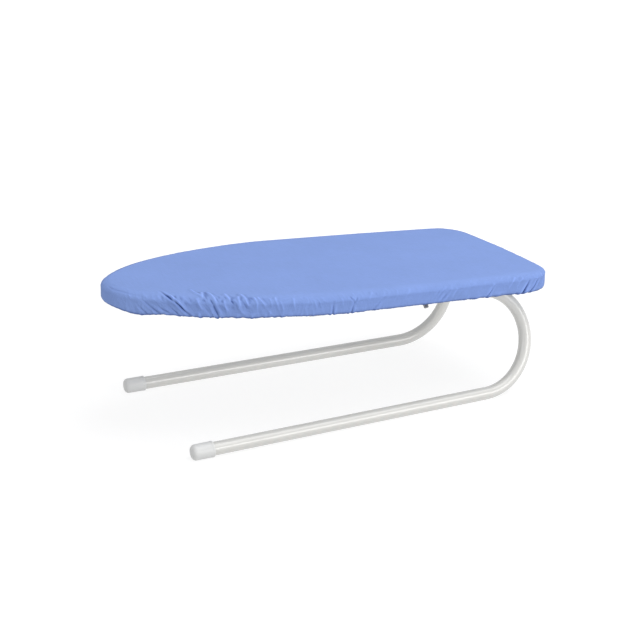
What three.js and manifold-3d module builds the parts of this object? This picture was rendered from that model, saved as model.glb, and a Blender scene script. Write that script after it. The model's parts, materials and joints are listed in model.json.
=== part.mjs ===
// Tabletop ironing board: a padded mesh deck on two bent-tube legs that fold under it.
// Millimetres, +Z up, the nose towards -X. It stands on z = 0, centred in x and y.
import * as THREE from "three";
import Module from "manifold-3d";

// Deck outline, measured on the outer face of the rim
const DECK_LENGTH = 647;
const DECK_WIDTH = 300;
const REAR_BOW = 3;
const REAR_NARROWING = 6.8;
const REAR_CORNER_RADIUS = 46;
const NOSE_RADIUS = 64;
const NOSE_ARC_DEG = 38;
const NOSE_TO_WIDEST = 296;
const FLANK_NOSE_PULL = 105;
const FLANK_SIDE_PULL = 45;

// Deck layers
const GAP = 0.3;
const RIM_HEIGHT = 19;
const RIM_FLANGE = 9;
const RIM_CURL = 4.5;
const RIM_BEND = 1.5;
const RIM_SHEET = 1.2;
const MESH_THICKNESS = 1;
const MESH_LONG_WAY = 50;
const MESH_SHORT_WAY = 20;
const MESH_STRAND = 3;
const MESH_BORDER = 7;
const PAD_THICKNESS = 5.5;
const PAD_EDGE_ROUND = 3.5;
const COVER_THICKNESS = 0.8;
const SKIRT_TURN = 4;
const HEM_TURN = 20;
const ELASTIC_WIDTH = 5;
const ELASTIC_THICKNESS = 1.5;
const ELASTIC_INSET = 1.5;
const GATHER_DEPTH = 1.6;
const GATHER_COUNT = 33;

// Cross members and saddles
const CROSS_WIDTH = 30;
const CROSS_DEPTH = 13.5;
const CROSS_SHEET = 1.5;
const NOSE_CROSS_INSET = 117;
const FRONT_CROSS_X = -49.5;
const REAR_CROSS_X = 123;
const SADDLE_LENGTH = 22;
const SADDLE_SHEET = 1.5;
const SADDLE_FOOT = 15.5;
const RIVET_RADIUS = 2;
const RIVET_HEAD_RADIUS = 4;
const RIVET_HEAD_HEIGHT = 2.2;
const RIVET_TAIL_RADIUS = 3.2;
const RIVET_TAIL_HEIGHT = 1.4;

// Legs
const TUBE_DIAMETER = 19.05;
const TUBE_WALL = 1.2;
const HINGE_INSET = 54.6;
const HINGE_CLEARANCE = 0.5;
const LEG_SPLAY_DEG = 12.8;
const LEG_OPENING_DEG = 2.85;
const LEG_BEND_RADIUS = 76.7;
const LEG_BEND_X = 219.8;
const TOP_RUN_FRONT_X = -75.5;
const RUNNER_LENGTH = 472.3;
const CAP_LENGTH = 31;
const CAP_WALL = 1.5;
const CAP_END = 2.8;
const CAP_END_ROUND = 3.6;
const CAP_LIP_LENGTH = 3;
const CAP_LIP_STEP = 0.3;
const PLUG_LENGTH = 15;
const PLUG_FLANGE = 2.4;
const PLUG_WALL = 2;
const PLUG_EDGE_ROUND = 0.8;
const PLUG_TAPER = 0.4;
const STOP_SCREW_RADIUS = 2.4;
const STOP_SCREW_DEG = 38;
const STOP_SCREW_REACH = 3;
const STOP_FLANGE_RADIUS = 4.2;
const STOP_FLANGE_HEIGHT = 1.2;
const STOP_HEAD_RADIUS = 3.6;
const STOP_HEAD_HEIGHT = 5.5;
const FOLD_DEG = 100;

// How finely the round shapes are divided
const OUTLINE_STATIONS = 96;
const TUBE_SIDES = 16;
const BEND_STEPS = 14;

// How far a cutter runs past what it cuts
const CUT_PAST = 4;

// Levels, places and fits in the deck's own frame, whose z = 0 is the top of the rim
const TUBE_RADIUS = TUBE_DIAMETER / 2;
const MESH_TOP = -RIM_SHEET - GAP;
const CROSS_TOP = MESH_TOP - MESH_THICKNESS - GAP;
const CROSS_BOTTOM = CROSS_TOP - CROSS_DEPTH;
const NOSE_CROSS_X = NOSE_CROSS_INSET - DECK_LENGTH / 2;
const HINGE_Z = CROSS_BOTTOM - HINGE_CLEARANCE - TUBE_RADIUS;
const PAD_TOP = GAP + PAD_THICKNESS;
const COVER_TOP = PAD_TOP + GAP + COVER_THICKNESS;
const HEM_TOP = -RIM_HEIGHT - GAP;
const HINGE_Y = DECK_WIDTH / 2 - HINGE_INSET;
const SADDLE_BORE = (TUBE_RADIUS + GAP) / Math.cos(Math.PI / 24);
const SADDLE_OUTER = SADDLE_BORE + SADDLE_SHEET;
const SADDLE_TOP = CROSS_BOTTOM - GAP - HINGE_Z;
const RIVET_Y = SADDLE_OUTER + SADDLE_FOOT / 2;
const CAP_BORE = (TUBE_RADIUS + GAP) / Math.cos(Math.PI / TUBE_SIDES);
const CAP_OUTER = CAP_BORE + CAP_WALL;
const LEG_SPLAY = THREE.MathUtils.degToRad(LEG_SPLAY_DEG);
const LEG_OPENING = THREE.MathUtils.degToRad(LEG_OPENING_DEG);

const X_AXIS = new THREE.Vector3(1, 0, 0);
const Y_AXIS = new THREE.Vector3(0, 1, 0);
const Z_AXIS = new THREE.Vector3(0, 0, 1);

const wasm = await Module();
wasm.setup();

// A closed three.js geometry as a solid that can be cut
function solidFrom(geometry) {
  const loose = geometry.index ? geometry.toNonIndexed() : geometry;
  const vertProperties = new Float32Array(loose.attributes.position.array);
  const triVerts = Uint32Array.from({ length: vertProperties.length / 3 }, (_, i) => i);
  const mesh = new wasm.Mesh({ numProp: 3, vertProperties, triVerts });
  mesh.merge();
  return new wasm.Manifold(mesh);
}

// A cut solid back as a three.js geometry
function geometryFrom(solid) {
  const mesh = solid.getMesh();
  const geometry = new THREE.BufferGeometry();
  geometry.setAttribute("position", new THREE.BufferAttribute(Float32Array.from(mesh.vertProperties), 3));
  geometry.setIndex(new THREE.BufferAttribute(Uint32Array.from(mesh.triVerts), 1));
  geometry.computeVertexNormals();
  return geometry;
}

function cut(geometry, tools) {
  const rest = tools.reduce((solid, tool) => solid.subtract(solidFrom(tool)), solidFrom(geometry));
  return geometryFrom(rest);
}

// A closed surface from rows of points; a looped one returns to its first row, any other ends in two fans
function loft(rows, looped) {
  const width = rows[0].length;
  const points = rows.flat();
  const index = [];
  const bands = looped ? rows.length : rows.length - 1;
  for (let row = 0; row < bands; row += 1) {
    const next = (row + 1) % rows.length;
    for (let i = 0; i < width; i += 1) {
      const j = (i + 1) % width;
      index.push(row * width + i, row * width + j, next * width + j);
      index.push(row * width + i, next * width + j, next * width + i);
    }
  }
  if (!looped) {
    const last = (rows.length - 1) * width;
    const firstPole = points.push(middle(rows[0])) - 1;
    const lastPole = points.push(middle(rows[rows.length - 1])) - 1;
    for (let i = 0; i < width; i += 1) {
      const j = (i + 1) % width;
      index.push(j, i, firstPole);
      index.push(last + i, last + j, lastPole);
    }
  }
  const geometry = new THREE.BufferGeometry().setFromPoints(points);
  geometry.setIndex(index);
  return facingOut(geometry);
}

function middle(row) {
  const sum = row.reduce((total, point) => total.add(point), new THREE.Vector3());
  return sum.divideScalar(row.length);
}

// The same geometry with its triangles turned to face outwards
function facingOut(geometry) {
  const position = geometry.attributes.position;
  const index = Array.from(geometry.index.array);
  const corners = [new THREE.Vector3(), new THREE.Vector3(), new THREE.Vector3()];
  let volume = 0;
  for (let i = 0; i < index.length; i += 3) {
    corners.forEach((corner, k) => corner.fromBufferAttribute(position, index[i + k]));
    volume += corners[0].dot(corners[1].clone().cross(corners[2]));
  }
  if (volume < 0) {
    index.reverse();
    geometry.setIndex(index);
  }
  geometry.computeVertexNormals();
  return geometry;
}

// A turned shape about `axis`, starting at `origin`, with the middle of one facet towards `facet`
function turned(profile, sides, origin, axis, facet) {
  const points = profile.map(([radius, along]) => new THREE.Vector2(radius, along));
  const geometry = facingOut(new THREE.LatheGeometry(points, sides, -Math.PI / sides));
  const up = axis.clone().normalize();
  const front = facet.clone().addScaledVector(up, -facet.dot(up)).normalize();
  const right = up.clone().cross(front);
  geometry.applyMatrix4(new THREE.Matrix4().makeBasis(right, up, front).setPosition(origin));
  return geometry;
}

// A round pin from `origin` along `axis`
function pin(radius, length, sides, origin, axis) {
  const facet = Math.abs(axis.x) > 0.5 ? Z_AXIS : X_AXIS;
  return turned([[0, 0], [radius, 0], [radius, length], [0, length]], sides, origin, axis, facet);
}

// Outline of the deck seen from above, from the middle of the rear edge round by +Y
function deckPath() {
  const rear = DECK_LENGTH / 2;
  const half = DECK_WIDTH / 2;
  const widestX = NOSE_TO_WIDEST - rear;
  const cornerY = half - REAR_NARROWING - REAR_CORNER_RADIUS;
  const bow = Math.atan2(2 * REAR_BOW, cornerY);
  const edgeY = cornerY + REAR_CORNER_RADIUS * Math.sin(bow);
  const edgeX = rear - edgeY / 2 * Math.tan(bow);
  const cornerX = edgeX - REAR_CORNER_RADIUS * Math.cos(bow);
  const taper = Math.atan2(2 * REAR_NARROWING, cornerX - widestX);
  const sideX = cornerX + REAR_CORNER_RADIUS * Math.sin(taper);
  const sideY = cornerY + REAR_CORNER_RADIUS * Math.cos(taper);
  const reach = (sideX - widestX) / 3;
  const noseX = NOSE_RADIUS - rear;
  const noseArc = THREE.MathUtils.degToRad(NOSE_ARC_DEG);
  const tipX = noseX - NOSE_RADIUS * Math.cos(noseArc);
  const tipY = NOSE_RADIUS * Math.sin(noseArc);
  const pullX = tipX + FLANK_NOSE_PULL * Math.sin(noseArc);
  const pullY = tipY + FLANK_NOSE_PULL * Math.cos(noseArc);
  const softX = sideX - reach * Math.cos(taper);
  const softY = sideY + reach * Math.sin(taper);
  const path = new THREE.Path();
  path.moveTo(rear, 0);
  path.quadraticCurveTo(rear, edgeY / 2, edgeX, edgeY);
  path.absarc(cornerX, cornerY, REAR_CORNER_RADIUS, bow, Math.PI / 2 - taper);
  path.bezierCurveTo(softX, softY, widestX + reach, half, widestX, half);
  path.bezierCurveTo(widestX - FLANK_SIDE_PULL, half, pullX, pullY, tipX, tipY);
  path.absarc(noseX, 0, NOSE_RADIUS, Math.PI - noseArc, Math.PI + noseArc);
  path.bezierCurveTo(pullX, -pullY, widestX - FLANK_SIDE_PULL, -half, widestX, -half);
  path.bezierCurveTo(widestX + reach, -half, softX, -softY, sideX, -sideY);
  path.absarc(cornerX, -cornerY, REAR_CORNER_RADIUS, taper - Math.PI / 2, -bow);
  path.quadraticCurveTo(rear, -edgeY / 2, rear, 0);
  return path;
}

// Evenly spaced points of the outline with their outward directions
function deckStations() {
  const path = deckPath();
  return Array.from({ length: OUTLINE_STATIONS }, (_, i) => {
    const point = path.getPoint(i / OUTLINE_STATIONS);
    const tangent = path.getTangent(i / OUTLINE_STATIONS);
    return { point, outward: new THREE.Vector2(tangent.y, -tangent.x), index: i };
  });
}

const STATIONS = deckStations();

function beside(station, offset, z) {
  const { point, outward } = station;
  return new THREE.Vector3(point.x + outward.x * offset, point.y + outward.y * offset, z);
}

function outlineRow(offset, z) {
  return STATIONS.map((station) => beside(station, offset, z));
}

function outlineShape(offset) {
  return new THREE.Shape(outlineRow(offset, 0).map(({ x, y }) => new THREE.Vector2(x, y)));
}

function insideDeck(x, y, margin) {
  return STATIONS.every(({ point, outward }) =>
    (x - point.x) * outward.x + (y - point.y) * outward.y < -margin);
}

// A strip with the same section all round the deck
function bandRound(section, stations) {
  return loft(stations.map((station) => section.map(([offset, z]) => beside(station, offset, z))), true);
}

function rimFrame() {
  const section = [
    [-RIM_BEND, 0],
    [0, -RIM_BEND],
    [0, RIM_BEND - RIM_HEIGHT],
    [-RIM_BEND, -RIM_HEIGHT],
    [-RIM_CURL, -RIM_HEIGHT],
    [-RIM_CURL, RIM_SHEET - RIM_HEIGHT],
    [-RIM_SHEET, RIM_SHEET - RIM_HEIGHT],
    [-RIM_SHEET, -RIM_SHEET],
    [-RIM_FLANGE, -RIM_SHEET],
    [-RIM_FLANGE, 0],
  ];
  return bandRound(section, STATIONS);
}

// Expanded sheet: staggered diamonds whose long way runs across the deck
function meshTop() {
  const sheet = outlineShape(-RIM_SHEET - GAP);
  const halfLong = MESH_LONG_WAY / 2 - MESH_STRAND;
  const halfShort = MESH_SHORT_WAY / 2 - MESH_STRAND / 2;
  const columns = Math.ceil(DECK_LENGTH / MESH_SHORT_WAY);
  const rows = Math.ceil(DECK_WIDTH / MESH_LONG_WAY);
  for (let column = -columns; column <= columns; column += 1) {
    for (let row = -rows; row <= rows; row += 1) {
      const x = column * MESH_SHORT_WAY / 2;
      const y = (row + (column % 2 ? 0.5 : 0)) * MESH_LONG_WAY;
      const corners = [[x + halfShort, y], [x, y + halfLong], [x - halfShort, y], [x, y - halfLong]];
      if (corners.every(([cx, cy]) => insideDeck(cx, cy, MESH_BORDER))) {
        sheet.holes.push(new THREE.Path(corners.map(([cx, cy]) => new THREE.Vector2(cx, cy))));
      }
    }
  }
  const geometry = new THREE.ExtrudeGeometry(sheet, { depth: MESH_THICKNESS, bevelEnabled: false });
  return geometry.translate(0, 0, MESH_TOP - MESH_THICKNESS);
}

function pad() {
  const rows = [
    outlineRow(-PAD_EDGE_ROUND, PAD_TOP),
    outlineRow(-PAD_EDGE_ROUND * 0.3, PAD_TOP - PAD_EDGE_ROUND * 0.3),
    outlineRow(0, PAD_TOP - PAD_EDGE_ROUND),
    outlineRow(0, GAP),
  ];
  return loft(rows, false);
}

// How far the gathered skirt stands out at a station
function gather({ index }) {
  const turn = 2 * Math.PI * index / OUTLINE_STATIONS;
  const ripple = 0.5 + 0.5 * Math.cos(GATHER_COUNT * turn);
  const fullness = 0.65 + 0.35 * Math.cos(2 * turn);
  return GATHER_DEPTH * ripple * fullness;
}

// One row of the cover, `share` of the gathers standing out and half of that hanging lower
function coverRow(offset, z, share) {
  return STATIONS.map((station) => {
    const swell = share * gather(station);
    return beside(station, offset + swell, z - swell / 2);
  });
}

// Cloth drawn over the pad and rim, its gathered skirt turned under to the hem
function cover() {
  const outer = GAP + COVER_THICKNESS;
  const innerRound = PAD_EDGE_ROUND + GAP;
  const outerRound = PAD_EDGE_ROUND + outer;
  const skirtLow = SKIRT_TURN - RIM_HEIGHT;
  const hemBottom = HEM_TOP - COVER_THICKNESS;
  const rows = [
    coverRow(-PAD_EDGE_ROUND, COVER_TOP, 0),
    coverRow(outer - outerRound * 0.3, COVER_TOP - outerRound * 0.3, 0),
    coverRow(outer, COVER_TOP - outerRound, 0.2),
    coverRow(outer, skirtLow, 1),
    coverRow(outer, -RIM_HEIGHT, 0.8),
    coverRow(0, hemBottom, 0.5),
    coverRow(-HEM_TURN, hemBottom, 0),
    coverRow(-HEM_TURN, HEM_TOP, 0),
    coverRow(GAP, HEM_TOP, 0),
    coverRow(GAP, skirtLow, 0.9),
    coverRow(GAP, COVER_TOP - outerRound, 0.2),
    coverRow(GAP - innerRound * 0.3, PAD_TOP + GAP - innerRound * 0.3, 0),
    coverRow(-PAD_EDGE_ROUND, PAD_TOP + GAP, 0),
  ];
  return loft(rows, false);
}

function hemElastic() {
  const inner = ELASTIC_INSET - HEM_TURN;
  const low = HEM_TOP + GAP;
  const section = [
    [inner, low],
    [inner + ELASTIC_WIDTH, low],
    [inner + ELASTIC_WIDTH, low + ELASTIC_THICKNESS],
    [inner, low + ELASTIC_THICKNESS],
  ];
  return bandRound(section, STATIONS.filter(({ index }) => index % 2 === 0));
}

// Channel under the mesh, open upwards, trimmed to the rim and drilled for its rivets
function crossMember(x, rivetSides) {
  const half = CROSS_WIDTH / 2;
  const section = new THREE.Shape([
    new THREE.Vector2(-half, 0),
    new THREE.Vector2(-half, -CROSS_DEPTH),
    new THREE.Vector2(half, -CROSS_DEPTH),
    new THREE.Vector2(half, 0),
    new THREE.Vector2(half - CROSS_SHEET, 0),
    new THREE.Vector2(half - CROSS_SHEET, CROSS_SHEET - CROSS_DEPTH),
    new THREE.Vector2(CROSS_SHEET - half, CROSS_SHEET - CROSS_DEPTH),
    new THREE.Vector2(CROSS_SHEET - half, 0),
  ]);
  const bar = new THREE.ExtrudeGeometry(section, { depth: DECK_WIDTH, bevelEnabled: false });
  const across = new THREE.Matrix4().makeBasis(X_AXIS, Z_AXIS, Y_AXIS.clone().negate());
  bar.applyMatrix4(across.setPosition(x, DECK_WIDTH / 2, CROSS_TOP));
  const depth = CROSS_DEPTH + 2 * CUT_PAST;
  const room = new THREE.ExtrudeGeometry(outlineShape(-RIM_SHEET - GAP), { depth, bevelEnabled: false });
  room.translate(0, 0, CROSS_BOTTOM - CUT_PAST);
  const trimmed = geometryFrom(solidFrom(bar).intersect(solidFrom(room)));
  const holes = rivetSides.flatMap((side) => [-1, 1].map((edge) => rivetHole(x, side, edge)));
  return cut(trimmed, holes);
}

function rivetHole(x, side, edge) {
  const y = side * HINGE_Y + edge * RIVET_Y;
  const low = CROSS_BOTTOM - GAP - SADDLE_SHEET - CUT_PAST;
  const origin = new THREE.Vector3(x, y, low);
  return pin(RIVET_RADIUS + GAP, SADDLE_SHEET + GAP + CROSS_SHEET + 2 * CUT_PAST, 8, origin, Z_AXIS);
}

function rivet(x, side, edge) {
  const y = side * HINGE_Y + edge * RIVET_Y;
  const seat = RIVET_HEAD_HEIGHT;
  const tail = seat + SADDLE_SHEET + CROSS_SHEET + 3 * GAP;
  const profile = [
    [0, 0],
    [RIVET_HEAD_RADIUS * 0.75, seat * 0.3],
    [RIVET_HEAD_RADIUS, seat],
    [RIVET_RADIUS, seat],
    [RIVET_RADIUS, tail],
    [RIVET_TAIL_RADIUS, tail],
    [RIVET_TAIL_RADIUS * 0.8, tail + RIVET_TAIL_HEIGHT],
    [0, tail + RIVET_TAIL_HEIGHT],
  ];
  const low = CROSS_BOTTOM - GAP - SADDLE_SHEET - GAP - RIVET_HEAD_HEIGHT;
  return turned(profile, 8, new THREE.Vector3(x, y, low), Z_AXIS, X_AXIS);
}

// Direction in the plane across the hinge, `degrees` outwards from straight down
function acrossHinge(side, degrees) {
  const angle = THREE.MathUtils.degToRad(degrees);
  return new THREE.Vector3(0, side * Math.sin(angle), -Math.cos(angle));
}

function hingePoint(x, side) {
  return new THREE.Vector3(x, side * HINGE_Y, HINGE_Z);
}

// A section drawn across the hinge, drawn out along it and centred on `x`
function alongHinge(shape, length, x, side) {
  const settings = { depth: length, bevelEnabled: false, curveSegments: 12 };
  const geometry = new THREE.ExtrudeGeometry(shape, settings);
  const place = new THREE.Matrix4().makeBasis(Y_AXIS, Z_AXIS, X_AXIS);
  return geometry.applyMatrix4(place.setPosition(hingePoint(x - length / 2, side)));
}

// Strap round the underside of a top run; a slotted one lets the stop screw swing
function saddle(x, side, slotted) {
  const reach = SADDLE_OUTER + SADDLE_FOOT;
  const footLow = SADDLE_TOP - SADDLE_SHEET;
  const strap = new THREE.Shape();
  strap.moveTo(-reach, SADDLE_TOP);
  strap.lineTo(-reach, footLow);
  strap.lineTo(-SADDLE_OUTER, footLow);
  strap.lineTo(-SADDLE_OUTER, 0);
  strap.absarc(0, 0, SADDLE_OUTER, Math.PI, 2 * Math.PI);
  strap.lineTo(SADDLE_OUTER, footLow);
  strap.lineTo(reach, footLow);
  strap.lineTo(reach, SADDLE_TOP);
  strap.lineTo(SADDLE_BORE, SADDLE_TOP);
  strap.lineTo(SADDLE_BORE, 0);
  strap.absarc(0, 0, SADDLE_BORE, 2 * Math.PI, Math.PI, true);
  strap.lineTo(-SADDLE_BORE, SADDLE_TOP);
  const tools = [-1, 1].map((edge) => rivetHole(x, side, edge));
  if (slotted) {
    tools.push(stopSlot(x, side));
  }
  return cut(alongHinge(strap, SADDLE_LENGTH, x, side), tools);
}

// Cutter for the slot between the open stop and the folded stop
function stopSlot(x, side) {
  const shank = THREE.MathUtils.radToDeg(Math.asin((STOP_SCREW_RADIUS + GAP) / SADDLE_BORE));
  const open = STOP_SCREW_DEG + shank;
  const folded = STOP_SCREW_DEG - FOLD_DEG - shank;
  const angles = Array.from({ length: 13 }, (_, i) => THREE.MathUtils.lerp(open, folded, i / 12));
  const point = (radius, degrees) => {
    const direction = acrossHinge(side, degrees);
    return new THREE.Vector2(direction.y * radius, direction.z * radius);
  };
  const outer = angles.map((degrees) => point(SADDLE_OUTER + CUT_PAST, degrees));
  const inner = angles.map((degrees) => point(SADDLE_BORE - CUT_PAST, degrees)).reverse();
  return alongHinge(new THREE.Shape([...outer, ...inner]), 2 * (STOP_SCREW_RADIUS + 2 * GAP), x, side);
}

// Stations of a leg's centre line: top run, bend, runner
function legLine(side) {
  const outwards = acrossHinge(side, LEG_SPLAY_DEG);
  const sweep = Math.PI - LEG_OPENING;
  const stations = [];
  const add = (along, down, angle) => {
    const centre = hingePoint(along, side).addScaledVector(outwards, down);
    const tangent = X_AXIS.clone().multiplyScalar(Math.cos(angle)).addScaledVector(outwards, Math.sin(angle));
    stations.push({ centre, tangent });
  };
  add(TOP_RUN_FRONT_X, 0, 0);
  for (let i = 0; i <= BEND_STEPS; i += 1) {
    const angle = sweep * i / BEND_STEPS;
    const along = LEG_BEND_X + LEG_BEND_RADIUS * Math.sin(angle);
    add(along, LEG_BEND_RADIUS * (1 - Math.cos(angle)), angle);
  }
  const { centre, tangent } = stations[stations.length - 1];
  const end = centre.clone().addScaledVector(tangent, RUNNER_LENGTH - CAP_END - GAP);
  stations.push({ centre: end, tangent });
  return stations;
}

// Bent tube, turned so that a facet of the runner faces the table
function legTube(side) {
  const line = legLine(side);
  const sideways = X_AXIS.clone().cross(acrossHinge(side, LEG_SPLAY_DEG));
  const start = Math.PI + side * LEG_SPLAY - Math.PI / TUBE_SIDES;
  const ring = ({ centre, tangent }, radius) => {
    const inwards = sideways.clone().cross(tangent);
    return Array.from({ length: TUBE_SIDES }, (_, i) => {
      const angle = start + 2 * Math.PI * i / TUBE_SIDES;
      const spoke = inwards.clone().multiplyScalar(Math.cos(angle));
      spoke.addScaledVector(sideways, Math.sin(angle));
      return centre.clone().addScaledVector(spoke, radius);
    });
  };
  const outside = line.map((station) => ring(station, TUBE_RADIUS));
  const bore = line.map((station) => ring(station, TUBE_RADIUS - TUBE_WALL)).reverse();
  const direction = acrossHinge(side, STOP_SCREW_DEG);
  const wallStart = TUBE_RADIUS - TUBE_WALL - CUT_PAST;
  const origin = hingePoint(REAR_CROSS_X, side).addScaledVector(direction, wallStart);
  const hole = pin(STOP_SCREW_RADIUS + GAP, TUBE_WALL + 2 * CUT_PAST, 10, origin, direction);
  return cut(loft([...outside, ...bore], true), [hole]);
}

// Plastic cup over the front end of the runner, one facet flat on the table
function footCap(side) {
  const wall = CAP_OUTER - CAP_LIP_STEP;
  const profile = [
    [0, 0],
    [wall - CAP_END_ROUND, 0],
    [wall - CAP_END_ROUND * 0.3, CAP_END_ROUND * 0.3],
    [wall, CAP_END_ROUND],
    [wall, CAP_LENGTH - CAP_LIP_LENGTH - CAP_LIP_STEP],
    [CAP_OUTER, CAP_LENGTH - CAP_LIP_LENGTH],
    [CAP_OUTER, CAP_LENGTH],
    [CAP_BORE, CAP_LENGTH],
    [CAP_BORE, CAP_END],
    [0, CAP_END],
  ];
  const line = legLine(side);
  const { centre, tangent } = line[line.length - 1];
  const origin = centre.clone().addScaledVector(tangent, CAP_END + GAP);
  return turned(profile, TUBE_SIDES, origin, tangent.clone().negate(), Z_AXIS.clone().negate());
}

// Push-in plug for the open front end of the top run
function tubePlug(side) {
  const stem = (TUBE_RADIUS - TUBE_WALL) * Math.cos(Math.PI / TUBE_SIDES) - GAP;
  const profile = [
    [0, 0],
    [TUBE_RADIUS - PLUG_EDGE_ROUND, 0],
    [TUBE_RADIUS, PLUG_EDGE_ROUND],
    [TUBE_RADIUS, PLUG_FLANGE],
    [stem, PLUG_FLANGE],
    [stem - PLUG_TAPER, PLUG_LENGTH],
    [stem - PLUG_WALL, PLUG_LENGTH],
    [stem - PLUG_WALL, PLUG_FLANGE + PLUG_WALL],
    [0, PLUG_FLANGE + PLUG_WALL],
  ];
  const origin = hingePoint(TOP_RUN_FRONT_X - PLUG_FLANGE - GAP, side);
  return turned(profile, 12, origin, X_AXIS, Z_AXIS);
}

// Hexagon-headed screw in the top run that stops the leg at both ends of the saddle slot
function stopScrew(side) {
  const direction = acrossHinge(side, STOP_SCREW_DEG);
  const start = hingePoint(REAR_CROSS_X, side);
  const seat = SADDLE_OUTER + GAP;
  const shankStart = TUBE_RADIUS - TUBE_WALL - STOP_SCREW_REACH;
  const profile = [
    [0, shankStart],
    [STOP_SCREW_RADIUS, shankStart],
    [STOP_SCREW_RADIUS, seat],
    [STOP_FLANGE_RADIUS, seat],
    [STOP_FLANGE_RADIUS, seat + STOP_FLANGE_HEIGHT],
    [0, seat + STOP_FLANGE_HEIGHT],
  ];
  const shank = turned(profile, 10, start, direction, X_AXIS);
  const sunk = STOP_FLANGE_HEIGHT / 2;
  const foot = start.clone().addScaledVector(direction, seat + sunk);
  const head = pin(STOP_HEAD_RADIUS, STOP_HEAD_HEIGHT - sunk, 6, foot, direction);
  return geometryFrom(solidFrom(shank).add(solidFrom(head)));
}

// Pitch of the deck that sets the caps and the bends of both runners on one level
function deckPitch() {
  const line = legLine(1);
  const front = line[line.length - 1].centre;
  const back = line[line.length - 2].centre;
  const run = back.x - front.x;
  const drop = back.z - front.z;
  const capLift = (CAP_OUTER - TUBE_RADIUS) * Math.cos(Math.PI / TUBE_SIDES);
  return Math.atan2(drop, run) + Math.asin(capLift / Math.hypot(run, drop));
}

const board = new THREE.Group();

function addPiece(name, geometry, color, roughness, metalness) {
  const mesh = new THREE.Mesh(geometry, new THREE.MeshStandardMaterial({ color, roughness, metalness }));
  mesh.name = name;
  board.add(mesh);
}

const BLUE = 0x8ca7e2;
const FELT = 0xe8e4da;
const STEEL = 0xa8abb0;
const ENAMEL = 0xe6e6e2;
const PLASTIC = 0xf0f0ee;
const ELASTIC = 0xf4f4f0;

addPiece("cover", cover(), BLUE, 0.9, 0);
addPiece("hem_elastic", hemElastic(), ELASTIC, 0.8, 0);
addPiece("pad", pad(), FELT, 1, 0);
addPiece("mesh_top", meshTop(), STEEL, 0.5, 0.8);
addPiece("rim_frame", rimFrame(), STEEL, 0.5, 0.8);
addPiece("nose_cross_member", crossMember(NOSE_CROSS_X, []), STEEL, 0.5, 0.8);
addPiece("front_cross_member", crossMember(FRONT_CROSS_X, [-1, 1]), STEEL, 0.5, 0.8);
addPiece("rear_cross_member", crossMember(REAR_CROSS_X, [-1, 1]), STEEL, 0.5, 0.8);

for (const [hand, side] of [["left", 1], ["right", -1]]) {
  addPiece(`${hand}_leg_tube`, legTube(side), ENAMEL, 0.3, 0);
  addPiece(`${hand}_foot_cap`, footCap(side), PLASTIC, 0.45, 0);
  addPiece(`${hand}_tube_plug`, tubePlug(side), PLASTIC, 0.45, 0);
  addPiece(`${hand}_stop_screw`, stopScrew(side), STEEL, 0.35, 1);
  for (const [end, x] of [["front", FRONT_CROSS_X], ["rear", REAR_CROSS_X]]) {
    addPiece(`${hand}_${end}_saddle`, saddle(x, side, end === "rear"), STEEL, 0.4, 0.9);
    addPiece(`${hand}_${end}_outer_rivet`, rivet(x, side, side), STEEL, 0.35, 1);
    addPiece(`${hand}_${end}_inner_rivet`, rivet(x, side, -side), STEEL, 0.35, 1);
  }
}

// Stand the pitched board on z = 0 with its box centred on the origin
board.rotation.y = deckPitch();
const box = new THREE.Box3().setFromObject(board, true);
const centre = box.getCenter(new THREE.Vector3());
board.position.set(-centre.x, -centre.y, -box.min.z);

const root = new THREE.Group();
root.name = "ironing_board";
root.add(board);

export default root;
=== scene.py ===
# Looks of a tabletop ironing board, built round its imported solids.
# Metres, +Z up, the nose towards -X, the side that faces the camera at -Y.
import json
import math

import bmesh
import bpy
import numpy as np
from mathutils import Matrix, Vector
from mathutils.geometry import convex_hull_2d


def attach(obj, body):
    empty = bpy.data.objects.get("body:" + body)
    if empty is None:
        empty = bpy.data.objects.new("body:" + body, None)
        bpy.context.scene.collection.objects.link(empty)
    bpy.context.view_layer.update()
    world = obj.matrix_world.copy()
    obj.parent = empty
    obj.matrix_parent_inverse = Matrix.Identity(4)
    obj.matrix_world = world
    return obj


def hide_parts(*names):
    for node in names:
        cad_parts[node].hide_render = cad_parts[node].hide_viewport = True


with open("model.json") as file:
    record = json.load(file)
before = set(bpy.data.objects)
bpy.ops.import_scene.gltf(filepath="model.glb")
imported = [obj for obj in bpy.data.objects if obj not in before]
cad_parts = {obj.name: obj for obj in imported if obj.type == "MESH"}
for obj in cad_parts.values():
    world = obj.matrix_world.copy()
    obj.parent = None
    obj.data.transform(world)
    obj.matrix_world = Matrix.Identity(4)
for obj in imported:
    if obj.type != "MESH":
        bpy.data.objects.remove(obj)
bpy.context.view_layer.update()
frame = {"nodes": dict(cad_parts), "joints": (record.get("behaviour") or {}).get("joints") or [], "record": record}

# Camera, fitted to the outlines of the photograph
CAMERA_TARGET = Vector((0.01433, 0.02264, 0.10864))
CAMERA_DISTANCE = 2.0719
CAMERA_AZIMUTH_DEG = -26.86
CAMERA_ELEVATION_DEG = 19.13
CAMERA_FOCAL_PIXELS = 1387
PHOTO_PIXELS = 640
SENSOR_WIDTH_MM = 36
CAMERA_SIGHT_END = 100

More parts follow.
